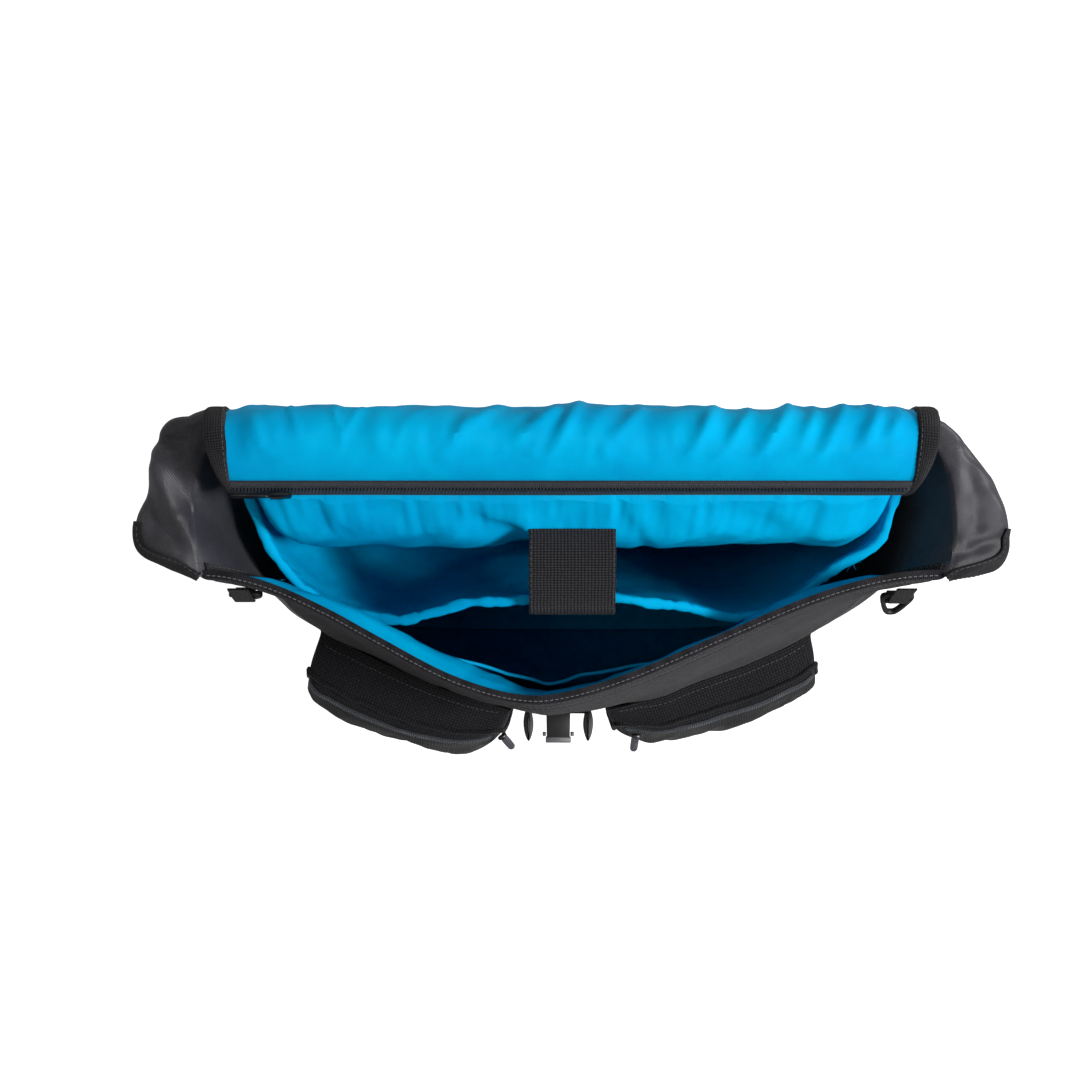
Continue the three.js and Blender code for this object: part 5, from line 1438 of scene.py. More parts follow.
    def strap_path(self) -> Array:
        """The strap's middle line: off the padded wall, arched over the hem and down in front."""
        b = self.body
        up = (self.strap_sewn - self.foot / b.height) / (1 - self.foot / b.height)
        on_pad = b.back[3] - b.board - GAP - float(self.pad_thickness(np.array(3.0), np.array(up)))
        across = self.strap_width / 2 / self.top_half * np.array([-1, 0, 1])
        tail_up = 1 - self.strap_tail / self.top
        hem, tail = (self.divider_point(across, np.full(3, u))[:, 1].min() for u in (1.0, tail_up))
        lift = b.webbing / 2 + GAP
        over = hem - self.hem - lift
        end = tail - self.wall / 2 - lift - self.strap_spring
        z = self.top
        rows = np.array([
            (0, on_pad - lift, self.strap_sewn * b.height),
            (0, lerp(on_pad, hem, 0.3), z + self.strap_arch),
            (0, lerp(on_pad, hem, 0.7), z + 0.8 * self.strap_arch),
            (0, hem - 0.5 * self.hem, z + 0.35 * self.strap_arch),
            (0, over - 0.6, z - self.hem),
            (0, lerp(over, end, 0.7), z - 0.6 * self.strap_tail),
            (0, end, z - self.strap_tail),
        ])
        path = along(centripetal(rows, 14), np.linspace(0, 1, 60))
        path[:, 1] -= np.linspace(1.0, 2.5, 60)
        return path

    def strap(self) -> None:
        """Laptop strap: from the padded wall over the divider's hem, its cut end frayed."""
        path = self.strap_path()
        count = len(path)
        normals = np.tile([0, -0.3, 1.0], (count, 1))
        wide = 1 + 0.012 * self.noise(np.arange(count) / 5, np.zeros(count))
        profile = band(self.strap_width, self.body.webbing, 25)
        sweep(path, normals, profile, np.stack([wide, np.ones(count)], -1)).make(
            "laptop_strap_webbing", STRAP, "webbing", "laptop_strap"
        )
        run, up, side = frames(path, normals)
        top = up * 0.9
        lines = [Line(path + side * share * self.strap_width + top, up) for share in (-0.475, 0.475)]
        sewn = 57
        xs = np.linspace(-0.45, 0.45, 30)[:, None]
        points = path[sewn] + side[sewn] * xs * self.strap_width + top[sewn]
        lines.append(Line(points, np.tile(up[sewn], (30, 1))))
        rows = merged([self.strap_seam.along(line) for line in lines])
        rows.make("strap_stitches", DARK_THREAD, "webbing")
        random = np.random.default_rng(9)
        ends = []
        for x in np.linspace(-24, 24, 60) + random.normal(0, 0.3, 60):
            start = path[-1] + side[-1] * x + up[-1] * random.uniform(-0.5, 0.5)
            aim = unit(run[-1] + random.normal(0, 0.25, 3))
            line = start + aim * np.linspace(-0.5, random.uniform(1.0, 2.6), 4)[:, None]
            ends.append(sweep(line, np.tile(up[-1], (4, 1)), oval(0.45, 0.35, 5)))
        merged(ends).make("strap_frays", FRAY_THREAD, "webbing")


# ---------------- lid

LID_CREASES = crease_rows(
    (79, 86, 64, 66, 2.9, 2.0),
    (98, 86, 79, 62, 3.1, 2.2),
    (120, 86, 98, 61, 3.1, 2.4),
    (134, 86, 124, 71, 2.7, 1.6),
    (149, 85, 131, 61, 3.1, 2.6),
    (168, 84, 150, 62, 3.2, 2.2),
    (182, 82, 168, 71, 2.7, 1.3),
    (37, 85, 22, 71, 3.1, 1.8),
    (4, 88, -12, 65, 3.2, 2.4),
    (-10, 85, -30, 71, 3.2, 2.0),
    (-24, 64, -14, 50, 2.9, 1.6),
    (-40, 89, -57, 76, 3.6, 2.2),
    (-57, 82, -69, 65, 2.9, 1.4),
    (-158, 87, -150, 75, 1.4, 1.0),
    (-133, 86, -127, 75, 1.4, 1.0),
    (-117, 84, -125, 72, 1.4, 1.0),
    (14, 70, 21, 51, 3.1, 1.4),
    (44, 70, 52, 51, 3.2, 1.2),
    (-175, 80, -168, 66, 2.5, 1.1),
    stretch=1.4,
)


@dataclass
class Lid:
    """Lid thrown back: two sheets over a fold, bound at their edges, with a zip at the hinge."""

    body: Body
    length: float = 355
    half: float = 201
    hump: float = 27
    behind: float = 88
    corner: float = 38
    lean: float = 0.012
    lift: float = 15
    lies: float = 0.16
    outer_wall: float = 2
    lining_wall: float = 1
    zip_width: float = 14
    zip_half: float = 188.5
    zip_start: float = 2
    slider_in: float = 26
    over: float = -1.3
    end_count: int = 58
    noise: Noise = field(default_factory=lambda: Noise(37))

    binding_seam = Seam(2.3, 3.3, 2, 0.1)
    zip_seam = Seam(2.0, 3.0, 1, 0.05, 0.42)

    fold_rows = ((0, 0), (0.03, 0.4), (0.2, 0.8), (0.48, 1), (0.78, 0.83), (0.96, 0.3), (1, -0.35))
    widths = Curve((0, 0.94), (0.08, 0.965), (0.2, 1), (0.6, 0.99), (1, 0.96))

    def __post_init__(self) -> None:
        """Works out the fold's line and its length once."""
        hinge = self.body.back[3] - self.body.board / 2
        root = self.body.height + GAP
        s, u = np.array(self.fold_rows, float).T
        rows = np.stack([lerp(hinge, self.behind, s), root + self.hump * u], -1)
        self.fold = centripetal(rows, 60)
        self.run = arc_length(self.fold)

    def point(self, x: Array, t: Array) -> Array:
        """A point of the lid's middle surface: over the fold, then down with a slight lean."""
        x, t = paired(x, t)
        go = t * self.length
        folded = np.minimum(go, self.run[-1])
        fall = np.maximum(go - self.run[-1], 0)
        y = np.interp(folded, self.run, self.fold[:, 0]) - self.lean * fall
        return stack(x + self.over, y, np.interp(folded, self.run, self.fold[:, 1]) - fall)

    def normal(self, t: Array) -> Array:
        """Normal on the lining's side: the fold's direction turned by a right angle."""
        t = np.asarray(t, float)
        ahead = self.point(np.zeros_like(t), np.minimum(t + 0.004, 1))
        d = ahead - self.point(np.zeros_like(t), np.maximum(t - 0.004, 0))
        return unit(stack(0, -d[..., 2], d[..., 1]))

    def lining_lift(self, t: Array) -> Array:
        """How far the lining stands off the middle surface."""
        return lerp(self.lift, GAP / 2, smooth(np.clip(np.asarray(t) / self.lies, 0, 1)))

    def half_width(self, t: Array) -> Array:
        """Half width at each place, rounded off at the free corners by a circle."""
        left = np.maximum((1 - t) * self.length, 0)
        gone = np.maximum(self.corner - left, 0)
        round_off = self.corner - np.sqrt(np.maximum(self.corner**2 - gone**2, 0))
        return self.half * self.widths(t) - round_off

    def rows(self, count: int) -> Array:
        """Places along the lid, closer together over the fold and at the free corners."""
        end = 1 - self.corner / self.length
        corner = end + (1 - end) * np.sin(np.linspace(0, np.pi / 2, 14))[1:]
        fold = np.linspace(0, 0.28, count // 2, endpoint=False)
        return np.concatenate([fold, np.linspace(0.28, end, count // 2), corner])

    def lining_relief(self, points: Array, x: Array, t: Array) -> Array:
        """Folds of the lining, outwards only: drawn creases, tucks at the zip, soft folds behind."""
        n = self.noise
        tucks = n(x / 7, t * 8) * 0.9 * bell(t, 0.075, 0.03)
        soft = n.layered(x / 44 + t * 6, t * 7 + 4, 3) * 1.3
        run = t * self.length
        crease = n.creases((x * 0.8 - run * 0.6) / 24 + 20, (x * 0.6 + run * 0.8) / 62, 0.08)
        crease = crease * 1.5
        drawn = creased(points, LID_CREASES) * 1.3 * (1 - ramp(0.2, 0.3, t))
        back = 1 - 0.6 * ramp(0.24, 0.4, t)
        return np.maximum(tucks + soft + crease + drawn + 0.9, 0) * ramp(0.06, 0.1, t) * back

    def bulge(self, x: Array, t: Array) -> Array:
        """Soft swells of both sheets behind the bag."""
        return self.noise.layered(x / 60 + 50, t * 6, 3) * 1.4 * ramp(0.25, 0.5, t)

    def sheets(self) -> None:
        """Outer cloth and blue lining."""
        t = self.rows(112)
        share = np.linspace(-1, 1, 190)
        tt = t[:, None] + 0 * share
        n = self.normal(tt)
        inset = 1.5
        x = (self.half_width(t) - inset)[:, None] * share
        soft = self.bulge(x, tt) * (1 - ramp(0.88, 0.97, tt))
        soft = soft * (1 - ramp(0.82, 0.96, abs(share)))[None]
        middle = self.point(x, tt) + n * soft[..., None]
        outer = middle - n * (GAP / 2)
        piece = shell(outer - n * self.outer_wall, outer).make("lid_cloth", WOVEN, "woven", "lid_outer")
        edge = (1 - ramp(0.9, 0.96, abs(share)))[None] * (1 - ramp(0.95, 0.98, tt))
        inner = middle + n * self.lining_lift(tt)[..., None]
        relief = self.lining_relief(inner, x, tt) * edge
        top = inner + n * (self.lining_wall + relief)[..., None]
        piece = shell(top, inner).make("lid_lining_cloth", LINING, "lining", "lid_lining")

    def edge(self, t: Array) -> Line:
        """The lid's edge from hinge to hinge round the free end, for places along one side."""
        right = self.point(self.half_width(t), t) + self.normal(t) * (self.lining_lift(t) / 2)[:, None]
        end_half = float(self.half_width(np.array(1.0)))
        across = np.linspace(end_half, -end_half, self.end_count + 2)[1:-1]
        ones = np.ones_like(across)
        end = self.point(across, ones) + self.normal(ones) * GAP / 2
        left = right[::-1] * np.array([-1, 1, 1]) + np.array([2 * self.over, 0, 0])
        nr, ne = self.normal(t), self.normal(ones)
        return Line(np.concatenate([right, end, left]), np.concatenate([nr, ne, nr[::-1]]))

    def all_round(self, values: Array) -> Array:
        """Values along one side of the lid, carried on round its end and back up the other."""
        return np.concatenate([values, np.full(self.end_count, values[-1]), values[::-1]])

    def binding(self) -> None:
        """Binding tape folded over the edges, broad over the fold, with its rows of stitches."""
        t = self.rows(240)
        line = self.edge(t)
        walls = self.outer_wall + self.lining_wall
        thick = self.all_round(self.lining_lift(t) + walls + 2.6)
        broad = self.all_round(0.55 + 0.6 * ramp(0.03, 0.09, t) - 0.35 * ramp(0.17, 0.3, t))
        ripple = 1 + 0.05 * self.noise(arc_length(line.points) / 7, 0 * broad)
        profile = oval(11.0, 1, 20, 3.4) + np.array([-1.0, 0])
        scale = np.stack([broad * ripple, thick], -1)
        sweep(line.points, line.normals, profile, scale).make(
            "lid_edge_binding", EDGE_TAPE, "webbing", "lid_binding"
        )
        _, up, side = frames(line.points, line.normals)
        keep = slice(14, -14)
        seam = line.points + side * (-4.8 * broad)[:, None]
        face = up * (thick * 0.485)[:, None]
        rows = [Line((seam + face * s)[keep], up[keep] * s) for s in (1, -1)]
        merged([self.binding_seam.along(row) for row in rows]).make(
            "binding_stitches", DARK_THREAD, "webbing"
        )

    def zip(self) -> None:
        """Zip along the hinge: a tape, two rows of teeth, two of stitches and the slider."""
        start, end = (
            place / self.length for place in (self.zip_start, self.zip_start + self.zip_width)
        )
        t = np.linspace(start, end, 12)
        share = np.linspace(-1, 1, 200)
        x, tt = np.meshgrid(share * self.zip_half, t)
        n = self.normal(tt)
        wavy = self.noise(x / 40, tt * 3) * 0.25 + 0.25
        base = self.point(x, tt) + n * (self.lining_lift(tt) + self.lining_wall + GAP)[..., None]
        tape = shell(base + n * (0.8 + wavy)[..., None], base)
        tape.make("zip_tape", ZIP_TAPE, "zip_tape", "lid_zip_tape")
        middle = lerp(start, end, 0.66)
        line = self.zip_line(middle, 1.7, self.zip_half - 2.5)
        side = np.cross(unit(np.gradient(line.points, axis=0)), line.normals)
        rows = []
        for s in (-1, 1):
            row = Line(line.points + side * s * 1.45, line.normals)
            rows.append(scattered(tooth(), row.even(1.9, 0.95 * (1 + s) / 2)))
        merged(rows).make("zip_coils", TEETH, "plastic", "lid_zip_teeth")
        threads = [
            self.zip_seam.along(self.zip_line(place, 0.95, self.zip_half - 2))
            for place in (start + 1.3 / self.length, end - 1.4 / self.length)
        ]
        merged(threads).make("zip_stitches", DARK_THREAD, "zip_tape")
        self.slider(middle)

    def zip_line(self, place: float, lift: float, half: float) -> Line:
        """A line along the zip at a place along the lid, lifted off the lining's outside."""
        xs = np.linspace(-half, half, 400)
        ts = np.full_like(xs, place)
        stand = self.lining_lift(ts) + self.lining_wall + GAP + lift
        return Line(self.point(xs, ts) + self.normal(ts) * stand[:, None], self.normal(ts))

    def slider(self, place: float) -> None:
        """Slider on the teeth: a tapered body with a bridge, and a pull along the zip."""
        spot = np.array(place)
        n = self.normal(spot)
        lift = float(self.lining_lift(spot)) + self.lining_wall + 3 * GAP + 2.9
        at = self.point(np.array(self.slider_in - self.zip_half), spot) + n * lift
        body = prism([(-6, -4), (6, -5), (8, 0), (6, 5), (-6, 4)], 0, 2.2, 0.7)
        bridge = box(7, 2.6, 2.0, 3.4, 0.6, (-1, 0))
        half = [(-26, -2.6), (-24, -3.2), (-8, -2.0), (-5, -1.6)]
        pull = prism(half + [(x, -y) for x, y in half[::-1]], 1.0, 2.4, 0.45)
        grip = box(5, 2.6, 2.3, 2.75, 0.15, (-21, 0))
        body.joined(bridge, pull, grip).placed(at, X, np.cross(n, X), n).make(
            "zip_slider", DARK_METAL, "pull", "lid_zip_slider"
        )


def tooth() -> Mesh:
    """One coil of a zip: a short bar across the zip."""
    bar = pill(2.5, 0.8, 1.4, 6)
    return Mesh(bar.points[:, [1, 0, 2]], [f[:, ::-1] for f in bar.faces], bar.cloth)


# ---------------- outer pockets


@dataclass
class Pocket:
    """One outer pocket: a moulded box of cloth on the front panel, with a zip over its top."""

    body: Body
    walls: Shell
    hand: Hand
    depth: float
    outer: float
    ledge: float
    pull_at: float
    top: float = 205
    height: float = 155
    inner: float = 0.19
    seat: float = 0.5
    wall: float = 2
    zip_below: float = 11.6
    zip_in: float = 3.0
    noise: Noise = field(default_factory=lambda: Noise(53))

    zip_seam = Seam(1.6, 2.4, 1, 0.85)
    top_seam = Seam(2.2, 3.2, 1, 0.05, 0.45)
    across = Curve(
        (0, 0), (0.02, 0.3), (0.06, 0.5), (0.14, 0.68), (0.26, 0.83), (0.4, 0.92), (0.55, 0.98),
        (0.7, 1), (0.83, 1), (0.92, 0.95), (0.965, 0.78), (0.988, 0.42), (1, 0),
    )
    down = Curve(
        (0, 0), (0.018, 0.5), (0.04, 0.84), (0.08, 0.97), (0.2, 1.02), (0.42, 1.04), (0.65, 1),
        (0.84, 0.88), (0.94, 0.68), (0.982, 0.36), (1, 0),
    )

    def point(self, a: Array, b: Array) -> Array:
        """A point of the pocket's outside: a from its inner to its outer end, b from top to foot."""
        a, b = paired(a, b)
        side = self.hand.value
        q = side * lerp(self.inner, self.outer, a)
        v = (self.top - self.height * b) / self.body.height
        out = self.depth * self.across(a) * self.down(b) * lerp(self.ledge, 1, ramp(0.03, 0.26, b))
        n = self.noise
        soft = n.layered(a * 5 + 10 * side, b * 4, 3) * 2.0
        pleats = n.creases(a * 7 + b * 5 + 3 * side, b * 2.5 + 4, 0.1) * 1.8 * ramp(0.12, 0.2, b)
        top = n.layered(a * 12 + 30 * side, b * 30, 2) * 0.45 * (1 - ramp(0.05, 0.09, b))
        puff = (soft * ramp(0.1, 0.3, b) + pleats + top) * np.minimum(out / 20, 1)
        under = np.maximum(self.walls.relief(q, v), 0)
        away = level(self.body.plain_normal(q, v))
        return self.body.plain(q, v) + away * (self.seat + out + puff + under)[..., None]

    def normal(self, a: Array, b: Array) -> Array:
        """Outward normal, from differences kept inside the pocket."""
        a, b = paired(a, b)
        (left, right), (up, low) = (
            (np.clip(place - 0.012, 0, 1), np.clip(place + 0.012, 0, 1)) for place in (a, b)
        )
        across = self.point(right, b) - self.point(left, b)
        return unit(np.cross(self.point(a, low) - self.point(a, up), across) * self.hand.value)

    def line(self, a: Array, b: Array) -> Line:
        """A line on the pocket."""
        return Line(self.point(*paired(a, b)), self.normal(a, b))

    def build(self) -> None:
        """Cloth, piped front edge, seams, zip and pull."""
        name = self.hand.label
        a, b = (
            lerp(np.linspace(0, 1, n), (1 - np.cos(np.linspace(0, np.pi, n))) / 2, 0.6)
            for n in (120, 96)
        )
        aa, bb = np.meshgrid(a, b)
        outer = self.point(aa, bb)
        cloth = shell(outer, outer - self.normal(aa, bb) * self.wall)
        # The pocket cloth's darker colours are painted shade.
        piece = cloth.make(f"pocket_cloth_{name}", SHADED_POCKET_CLOTH, "woven", f"pocket_{name}")
        self.piping()
        self.seams()
        zip_b = self.zip_below / self.height
        line = self.line(np.linspace(0.07, 0.94, 300), zip_b)
        line.raised(GAP + 0.4).rope(band(7, 0.8, 7)).make(
            f"pocket_zip_tape_{name}", ZIP_TAPE, "zip_tape", f"pocket_zip_{name}"
        )
        scattered(tooth(), line.raised(1.0).even(1.5, 2)).make(
            f"pocket_zip_coil_{name}", PALE_TEETH, "plastic"
        )
        shift = frames(line.points, line.normals)[2] * self.zip_in * self.hand.value
        edges = [Line(line.points + shift * s, line.normals) for s in (1, -1)]
        merged([self.zip_seam.along(edge) for edge in edges]).make(
            f"pocket_zip_stitches_{name}", PALE_THREAD, "zip_tape"
        )
        self.pull(zip_b)

    def piping(self) -> None:
        """Piped edge: up the inner end, along the top's front edge and down the outer end."""
        u = np.linspace(0, 1, 120)
        inner = np.stack([0.03 + 0 * u, lerp(0.97, 0.05, u)], -1)
        top = np.stack([lerp(0.045, 0.955, np.linspace(0, 1, 200)), np.full(200, 0.034)], -1)
        outer = np.stack([0.972 + 0 * u, lerp(0.05, 0.97, u)], -1)
        path = along(np.concatenate([inner, top, outer]), np.linspace(0, 1, 420))
        kernel = np.ones(9) / 9
        a, b = (np.convolve(np.pad(column, 4, "edge"), kernel, "valid") for column in path.T)
        # The piping uses the pocket cloth, whose darker colours are painted shade.
        self.line(a, b).even(1.6).raised(0.8).rope(oval(3.3, 3.0, 8)).make(
            f"pocket_piping_{self.hand.label}", SHADED_POCKET_CLOTH, "woven"
        )

    def seams(self) -> None:
        """Top stitches beside the piping and where the pocket joins the panel."""
        down = np.linspace(0.12, 0.95, 120)
        rows = [
            self.line(np.linspace(0.06, 0.95, 260), 0.006), self.line(0.055, down), self.line(0.952, down),
        ]
        merged([self.top_seam.along(row) for row in rows]).make(
            f"pocket_stitches_{self.hand.label}", DARK_THREAD, "woven"
        )

    def pull(self, zip_b: float) -> None:
        """Slider body on the zip's inner end with a bent pull that hangs from it."""
        name = self.hand.label
        place, zip_at = np.array(self.pull_at), np.array(zip_b)
        n = level(self.normal(place, zip_at))
        across = np.cross(Z, n)
        start = self.point(place, zip_at) + n * 3.0
        shape = [(-2.6, -4.5), (2.6, -4.5), (3.2, 0), (2.6, 4.0), (-2.6, 4.0), (-3.2, 0)]
        body = prism(shape, 0, 2.2, 0.6).joined(box(1.8, 6, 2.0, 3.2, 0.5))
        body.placed(start, across, -Z, n).make(
            f"pocket_slider_{name}", DARK_METAL, "pull", f"pocket_pull_{name}"
        )
        shape = [(-2.3, 2), (2.3, 2), (2.7, 10), (2.3, 17), (-2.3, 17), (-2.7, 10)]
        tab = prism(shape, 1.4, 2.6, 0.4)
        shape = [(-1.7, 12), (1.7, 12), (2.0, 14), (1.4, 16.2), (-1.4, 16.2), (-2.0, 14)]
        tab = tab.joined(prism(shape, 2.3, 3.4, 0.5))
        swung = unit(n - Z * 0.6)
        tab.placed(start - n * 0.6, across, swung, np.cross(across, swung)).make(
            f"pocket_tab_{name}", PULL, "pull"
        )


# ---------------- fittings


@dataclass
class Fittings:
    """Side rings on their tabs, front buckle and socket with their webbing, and the carrier rail."""

    body: Body
    walls: Shell
    lid: Lid
    ring_width: float = 20
    ring_length: float = 25
    ring_thickness: float = 4
    ring_bar: float = 3
    ring_slot: float = 4
    ring_tip: float = 4
    ring_web: float = 1.2
    tab_top: float = 303
    buckle_left: float = 5
    buckle_tip: float = 136
    buckle_length: float = 44
    buckle_height: float = 68
    buckle_thickness: float = 7
    buckle_web: float = 38
    tab_length: float = 80
    socket_at: float = 0.9
    socket_web: float = 110
    rail_size: tuple[float, float, float] = (4, 26, 280)
    rail_below: float = 23
    hooks_at: float = 95

    tab_seam = Seam(2.2, 3.2, 0.5, 0.05)

    def ring(self, hand: Hand, tilt: float) -> None:
        """Triangular moulded loop with its bar, and the webbing tab that it hangs from."""
        b = self.body
        side, share = hand.value, np.array(self.tab_top / b.height)
        above = b.plain(np.array(float(side)), share)
        at = np.array([above[0] + side * 1.5, above[1] - 6, b.height - 34])
        s, c = np.sin(np.radians(tilt)), np.cos(np.radians(tilt))
        half, far = self.ring_width / 2 - 1.5, -self.ring_length
        path = trimmed(np.array([
            (-half, -1.5), (half, -1.5), (half, 0.25 * far), (self.ring_tip - 0.6, far + 2.8),
            (0, far + 1.5), (0.6 - self.ring_tip, far + 2.8), (-half, 0.25 * far),
        ]))
        bend = np.tile(Z, (len(path), 1))
        loop = sweep(stack(*path.T, 0), bend, oval(3.0, 4.0, 12, 2.6), closed=True)
        xs = np.linspace(-half, half, 8)
        bar_y = -self.ring_bar - self.ring_slot - self.ring_bar / 2
        bar = sweep(stack(xs, bar_y, 0), bend[:8], oval(3.0, 3.6, 12, 2.6))
        loop.joined(bar).placed(at, X, np.array([0, c, s]), np.array([0, -s, c])).make(
            f"ring_{hand.label}", PLASTIC, "plastic", f"side_ring_{hand.label}"
        )
        seam = b.plain(np.array(side * 0.99), share)
        down = self.ring_bar + GAP + self.ring_web / 2
        slot = at[1:] - down * np.array([c, s])
        through = np.array([s, -c]) * (self.ring_thickness / 2 + 2)
        stops = np.array([
            (seam[1] - 2.4, self.tab_top), (at[1] - 3.2, at[2] + 2.5),
            slot - through, slot, slot + through,
        ])
        y, z = along(centripetal(stops, 12), np.linspace(0, 1, 40)).T
        profile = band(self.ring_width - 8, self.ring_web, 9)
        sweep(stack(at[0], y, z), np.tile([0, -1.0, 0.2], (40, 1)), profile).make(
            f"ring_webbing_{hand.label}", TAPE, "webbing", f"ring_tab_{hand.label}"
        )

    def buckle(self) -> None:
        """Male half of the buckle: a slotted body, two leaf-shaped arms and a guide."""
        thick = self.buckle_thickness
        body = box(48, 4.2, 0, thick, 1.0, (0, -2.1))
        parts = [box(48, 9.5, 0, thick, 1.0, (0, -13.0))]
        leaf = [
            (22.0, -16), (24.6, -20), (25.9, -26), (26.0, -31), (24.8, -38), (22.2, -43.6),
            (20.2, -40), (18.6, -34), (18.4, -28), (19.6, -22), (19.4, -17),
        ]
        rib = [(22.6, -22), (23.6, -30), (22.4, -39), (21.2, -30)]
        for s in (-1, 1):
            parts.append(box(4.6, 14, 0.2, thick - 0.2, 0.9, (s * 21.6, -8)))
            parts.append(prism((np.array(leaf) * (s, 1))[::-s], 0.6, thick - 0.6, 1.6, 2))
            parts.append(prism((np.array(rib) * (s, 1))[::-s], thick - 1.2, thick - 0.1, 0.4, 2))
        guide = [(-8.6, -40), (8.6, -40), (9.0, -17), (-9.0, -17)]
        parts.append(prism(guide, 0.8, thick - 0.8, 0.6, 0))
        origin = (-self.buckle_left, self.buckle_length - self.buckle_tip, self.buckle_height)
        body.joined(*parts).placed(origin, X, Y, Z).make(
            "buckle_plug", PLASTIC, "plastic", "buckle"
        )
        # The guide's end and its two ears are pale grey: a painted reflection of light on the glossy end
        # bevel of the black plastic.
        ears = [box(2.6, 3.0, 2.0, 5.0, 0.5, (s * 10.4, -37.4)) for s in (-1, 1)]
        end = box(18.8, 4.2, 0.4, thick - 0.4, 0.6, (0, -41.6)).joined(*ears)
        end.placed(origin, X, Y, Z).make("buckle_guide_end_painted_glint", PAINTED_GLINT_PLASTIC, "plastic")

    def buckle_tab(self) -> None:
        """Webbing down the front panel and through the slot of the buckle, sewn on with a crossed box."""
        b = self.body

        def on_panel(z: Array) -> Array:
            """How far forward the webbing lies on the front panel at a height."""
            s = b.section(z / b.height)
            q = (-self.buckle_left - s["centre"]) / (s["seam_out"] - s["centre"])
            raised = np.maximum(self.walls.relief(q, z / b.height), 0)
            return b.plain(q, z / b.height)[..., 1] - 3 * GAP - b.webbing / 2 - raised

        slot = self.buckle_length - self.buckle_tip - 5.75
        over = self.buckle_height + self.buckle_thickness
        bend = over + 16
        zs = np.linspace(bend + self.tab_length, bend, 12)
        drop = [(slot, over + 2), (slot, self.buckle_height - 3)]
        stops = np.concatenate([np.stack([on_panel(zs), zs], -1), drop])
        line = along(centripetal(stops, 8), np.linspace(0, 1, 90))
        path = stack(-self.buckle_left, *line.T)
        normals = np.tile([0, -1.0, 0.05], (len(path), 1))
        web = sweep(path, normals, band(self.buckle_web, b.webbing, 19))
        web.make("buckle_webbing", TAPE, "webbing", "buckle_tab")
        _, up, side = frames(path, normals)
        left, right, near, far = -0.42, 0.42, 2, 32
        corners = [(left, near), (right, near), (right, far), (left, far)]
        corners += [(left, near), (right, far), (right, near), (left, far)]
        u = np.linspace(0, 1, 24)
        rows = []
        for (s0, p0), (s1, p1) in zip(corners, corners[1:]):
            at = lerp(p0, p1, u).astype(int)
            share = lerp(s0, s1, u)[:, None]
            points = path[at] + side[at] * share * self.buckle_web + up[at] * 0.9
            rows.append(self.tab_seam.along(Line(points, up[at])))
        merged(rows).make("buckle_tab_stitches", DARK_THREAD, "webbing")

    def socket(self) -> None:
        """Female half of the buckle on its webbing, on the lid's outer face."""
        lid, b = self.lid, self.body
        lift = lid.outer_wall + GAP * 1.5
        ts = np.linspace(self.socket_at - self.socket_web / lid.length, self.socket_at, 40)
        xs = np.zeros_like(ts)
        drop = lift + b.webbing / 2 + np.maximum(-lid.bulge(xs, ts), 0)
        path = lid.point(xs, ts) - lid.normal(ts) * drop[:, None]
        web = sweep(path, -lid.normal(ts), band(self.buckle_web, b.webbing, 19))
        web.make("socket_webbing", TAPE, "webbing", "socket_web")
        centre = lid.point(np.array(0.0), np.array(self.socket_at))
        centre = centre - Y * (lift + b.webbing + 2 * GAP + 6)
        shape = [
            (-23, -21), (23, -21), (26, -15), (27, 6), (25, 14), (25, 21), (-25, 21), (-25, 14),
            (-27, 6), (-26, -15),
        ]
        body = prism(shape, -6, 6, 2.0, 2).joined(box(40, 3, -5.4, 6.6, 0.8, (0, 17.5)))
        body.placed(centre, X, -Z, -Y).make("socket_body", PLASTIC, "plastic", "buckle_socket")
        window = np.array([(19, -10), (26.4, -10), (26.8, 4), (20, 2)])
        dents = [prism((window * (s, 1))[::s], -3.6, 3.6, 0.8, 1) for s in (-1, 1)]
        merged(dents).placed(centre, X, -Z, -Y).make("socket_windows", DARK_METAL, "plastic")

    def rail(self) -> None:
        """Carrier rail: a bevelled bar across the back with two hooks drawn across it."""
        b = self.body
        thick, height, long = self.rail_size
        top = b.height - self.rail_below
        share = np.array(top / b.height)
        reach = 3 - long / 2 / float(b.section(share)["back_seam_out"])
        near = float(b.plain(np.array(reach), share)[1]) + 2 * GAP
        end = long / 2
        grooves = [box(1.2, 1.6, 4 - end, end - 4, 0.3, (thick / 2, y)) for y in (-8, 8)]
        bar = box(thick, height, -end, end, 1.1).joined(*grooves)
        bar.placed((0, near + thick / 2, top - height / 2), Y, Z, X).make(
            "rail_bar", RAIL, "rail_plastic", "rack_rail"
        )
        shape = [
            (0, -14), (0.9, -14), (0.9, -4.6), (3.0, -4.0), (11.0, -4.0), (13, -5.0), (13, -22),
            (14, -24), (17, -23), (17, -3), (14.5, 0), (0, 0),
        ]
        hook = prism(shape, -12, 12, 1.0, 1)
        face = near + thick - 0.6
        hooks = [hook.placed((x, face, top), Y, Z, X) for x in (-self.hooks_at, self.hooks_at)]
        merged(hooks).make("rail_hooks", RAIL, "rail_plastic")


# ---------------- studio


@dataclass(frozen=True)
class Lamp:
    """An area lamp that looks at the bag, in metres and watts."""

    name: str
    place: tuple[float, float, float]
    power: float
    width: float
    aim: tuple[float, float, float] = (0, 0, 0.25)

    def build(self) -> None:
        """Puts the lamp into the scene."""
        data = bpy.data.lights.new(self.name, "AREA")
        data.energy, data.size = self.power, self.width
        lamp = bpy.data.objects.new(self.name, data)
        lamp.location = self.place
        way = Vector(self.aim) - Vector(self.place)
        lamp.rotation_euler = way.to_track_quat("-Z", "Y").to_euler()
        bpy.context.scene.collection.objects.link(lamp)


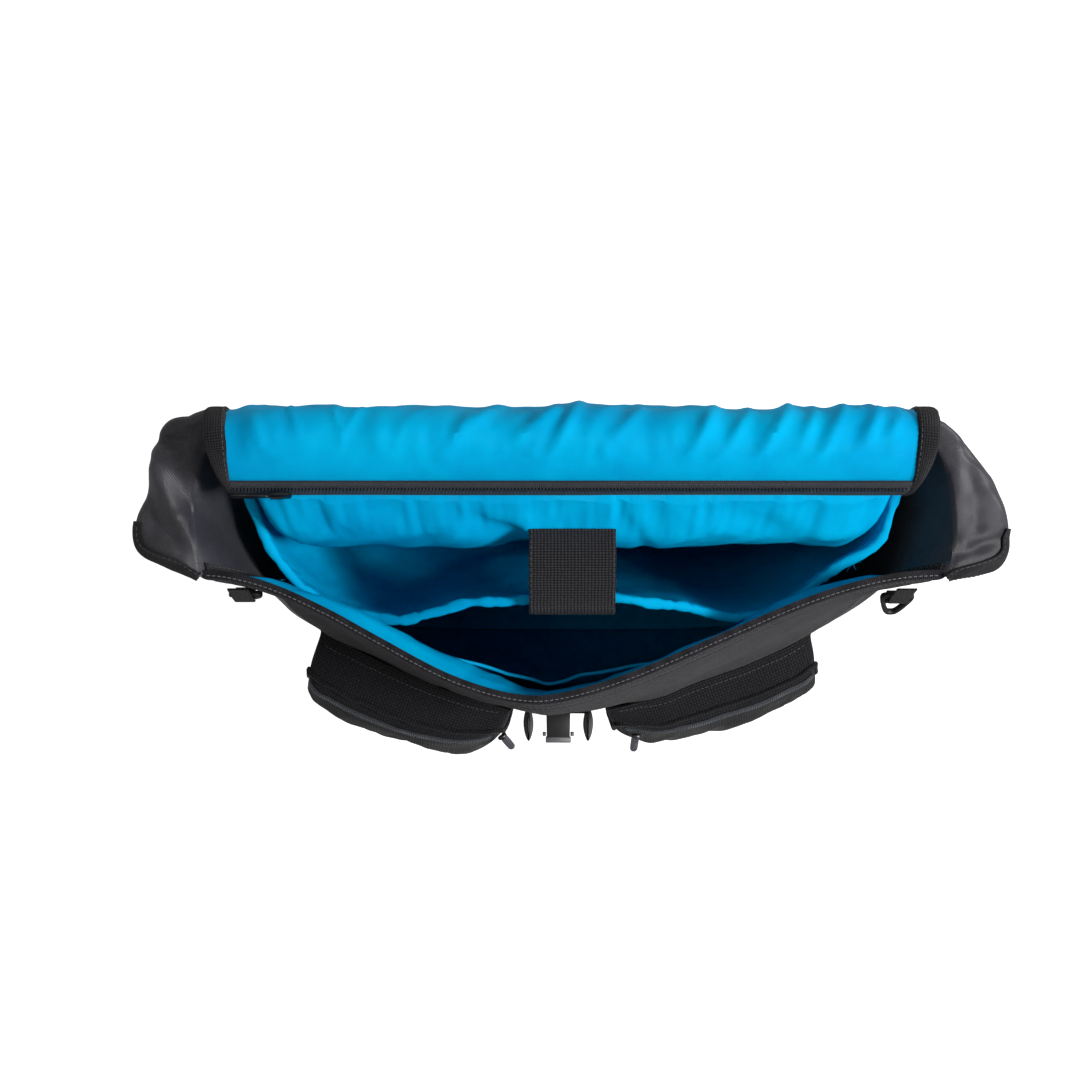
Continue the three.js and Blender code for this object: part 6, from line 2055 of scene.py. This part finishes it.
@dataclass
class Studio:
    """Pale floor, soft light from above and the camera straight above the bag, in metres."""

    sky: float = 0.26
    floor_half: float = 40.0
    floor_tone: float = 0.3
    lamps: tuple[Lamp, ...] = (
        Lamp("key", (1.4, -0.15, 1.75), 57.0, 0.5),
        Lamp("fill", (-0.7, -0.3, 2.3), 5.5, 1.2),
    )
    eye: tuple[float, float, float] = (-0.0186, 0.015, 1.1)
    lens: float = 46.02
    sensor: float = 36.0

    def build(self) -> None:
        """World, floor, lamps and camera."""
        scene = bpy.context.scene
        scene.view_settings.view_transform = "Standard"
        scene.view_settings.look = "None"
        scene.world = bpy.data.worlds.new("studio")
        scene.world.use_nodes = True
        sky = scene.world.node_tree.nodes["Background"]
        sky.inputs["Color"].default_value = opaque((1.0, 1.0, 1.0))
        sky.inputs["Strength"].default_value = self.sky
        self.floor()
        for lamp in self.lamps:
            lamp.build()
        lens = bpy.data.cameras.new("overhead")
        lens.lens, lens.sensor_width = self.lens, self.sensor
        camera = bpy.data.objects.new("overhead", lens)
        camera.location = self.eye
        scene.collection.objects.link(camera)
        scene.camera = camera

    def floor(self) -> None:
        """A wide floor that glows evenly, so that it stays pale from every side."""
        graph = Graph("studio_floor")
        graph.set(Base_Color=opaque((self.floor_tone,) * 3), Roughness=0.9)
        graph.set(Emission_Color=opaque((1, 1, 1)), Emission_Strength=1.0)
        data = bpy.data.meshes.new("studio_floor")
        corners = [(-1, -1), (1, -1), (1, 1), (-1, 1)]
        points = [(x * self.floor_half, y * self.floor_half, 0) for x, y in corners]
        data.from_pydata(points, [], [(0, 1, 2, 3)])
        data.materials.append(graph.made)
        floor = bpy.data.objects.new("studio_floor", data)
        bpy.context.scene.collection.objects.link(floor)
        floor.visible_glossy = False


def main() -> None:
    """Builds the bag piece by piece."""
    logging.basicConfig(level=logging.INFO, format="%(message)s")
    Studio().build()
    body = Body()
    walls = Shell(body)
    walls.base()
    walls.front()
    walls.back()
    walls.front_lining()
    walls.slip_pocket()
    lid = Lid(body)
    fittings = Fittings(body, walls, lid)
    for hand, pocket, tilt in (
        (Hand.LEFT, {"depth": 46, "outer": 0.985, "ledge": 0.82, "pull_at": 0.04}, 84),
        (Hand.RIGHT, {"depth": 38, "outer": 0.965, "ledge": 0.7, "pull_at": 0.12}, 60),
    ):
        walls.gusset(hand)
        Pocket(body, walls, hand, **pocket).build()
        fittings.ring(hand, tilt)
    sleeve = Sleeve(body)
    sleeve.pad()
    sleeve.divider()
    sleeve.strap()
    lid.sheets()
    lid.binding()
    lid.zip()
    fittings.buckle()
    fittings.buckle_tab()
    fittings.socket()
    fittings.rail()


if __name__ == "__main__":
    main()
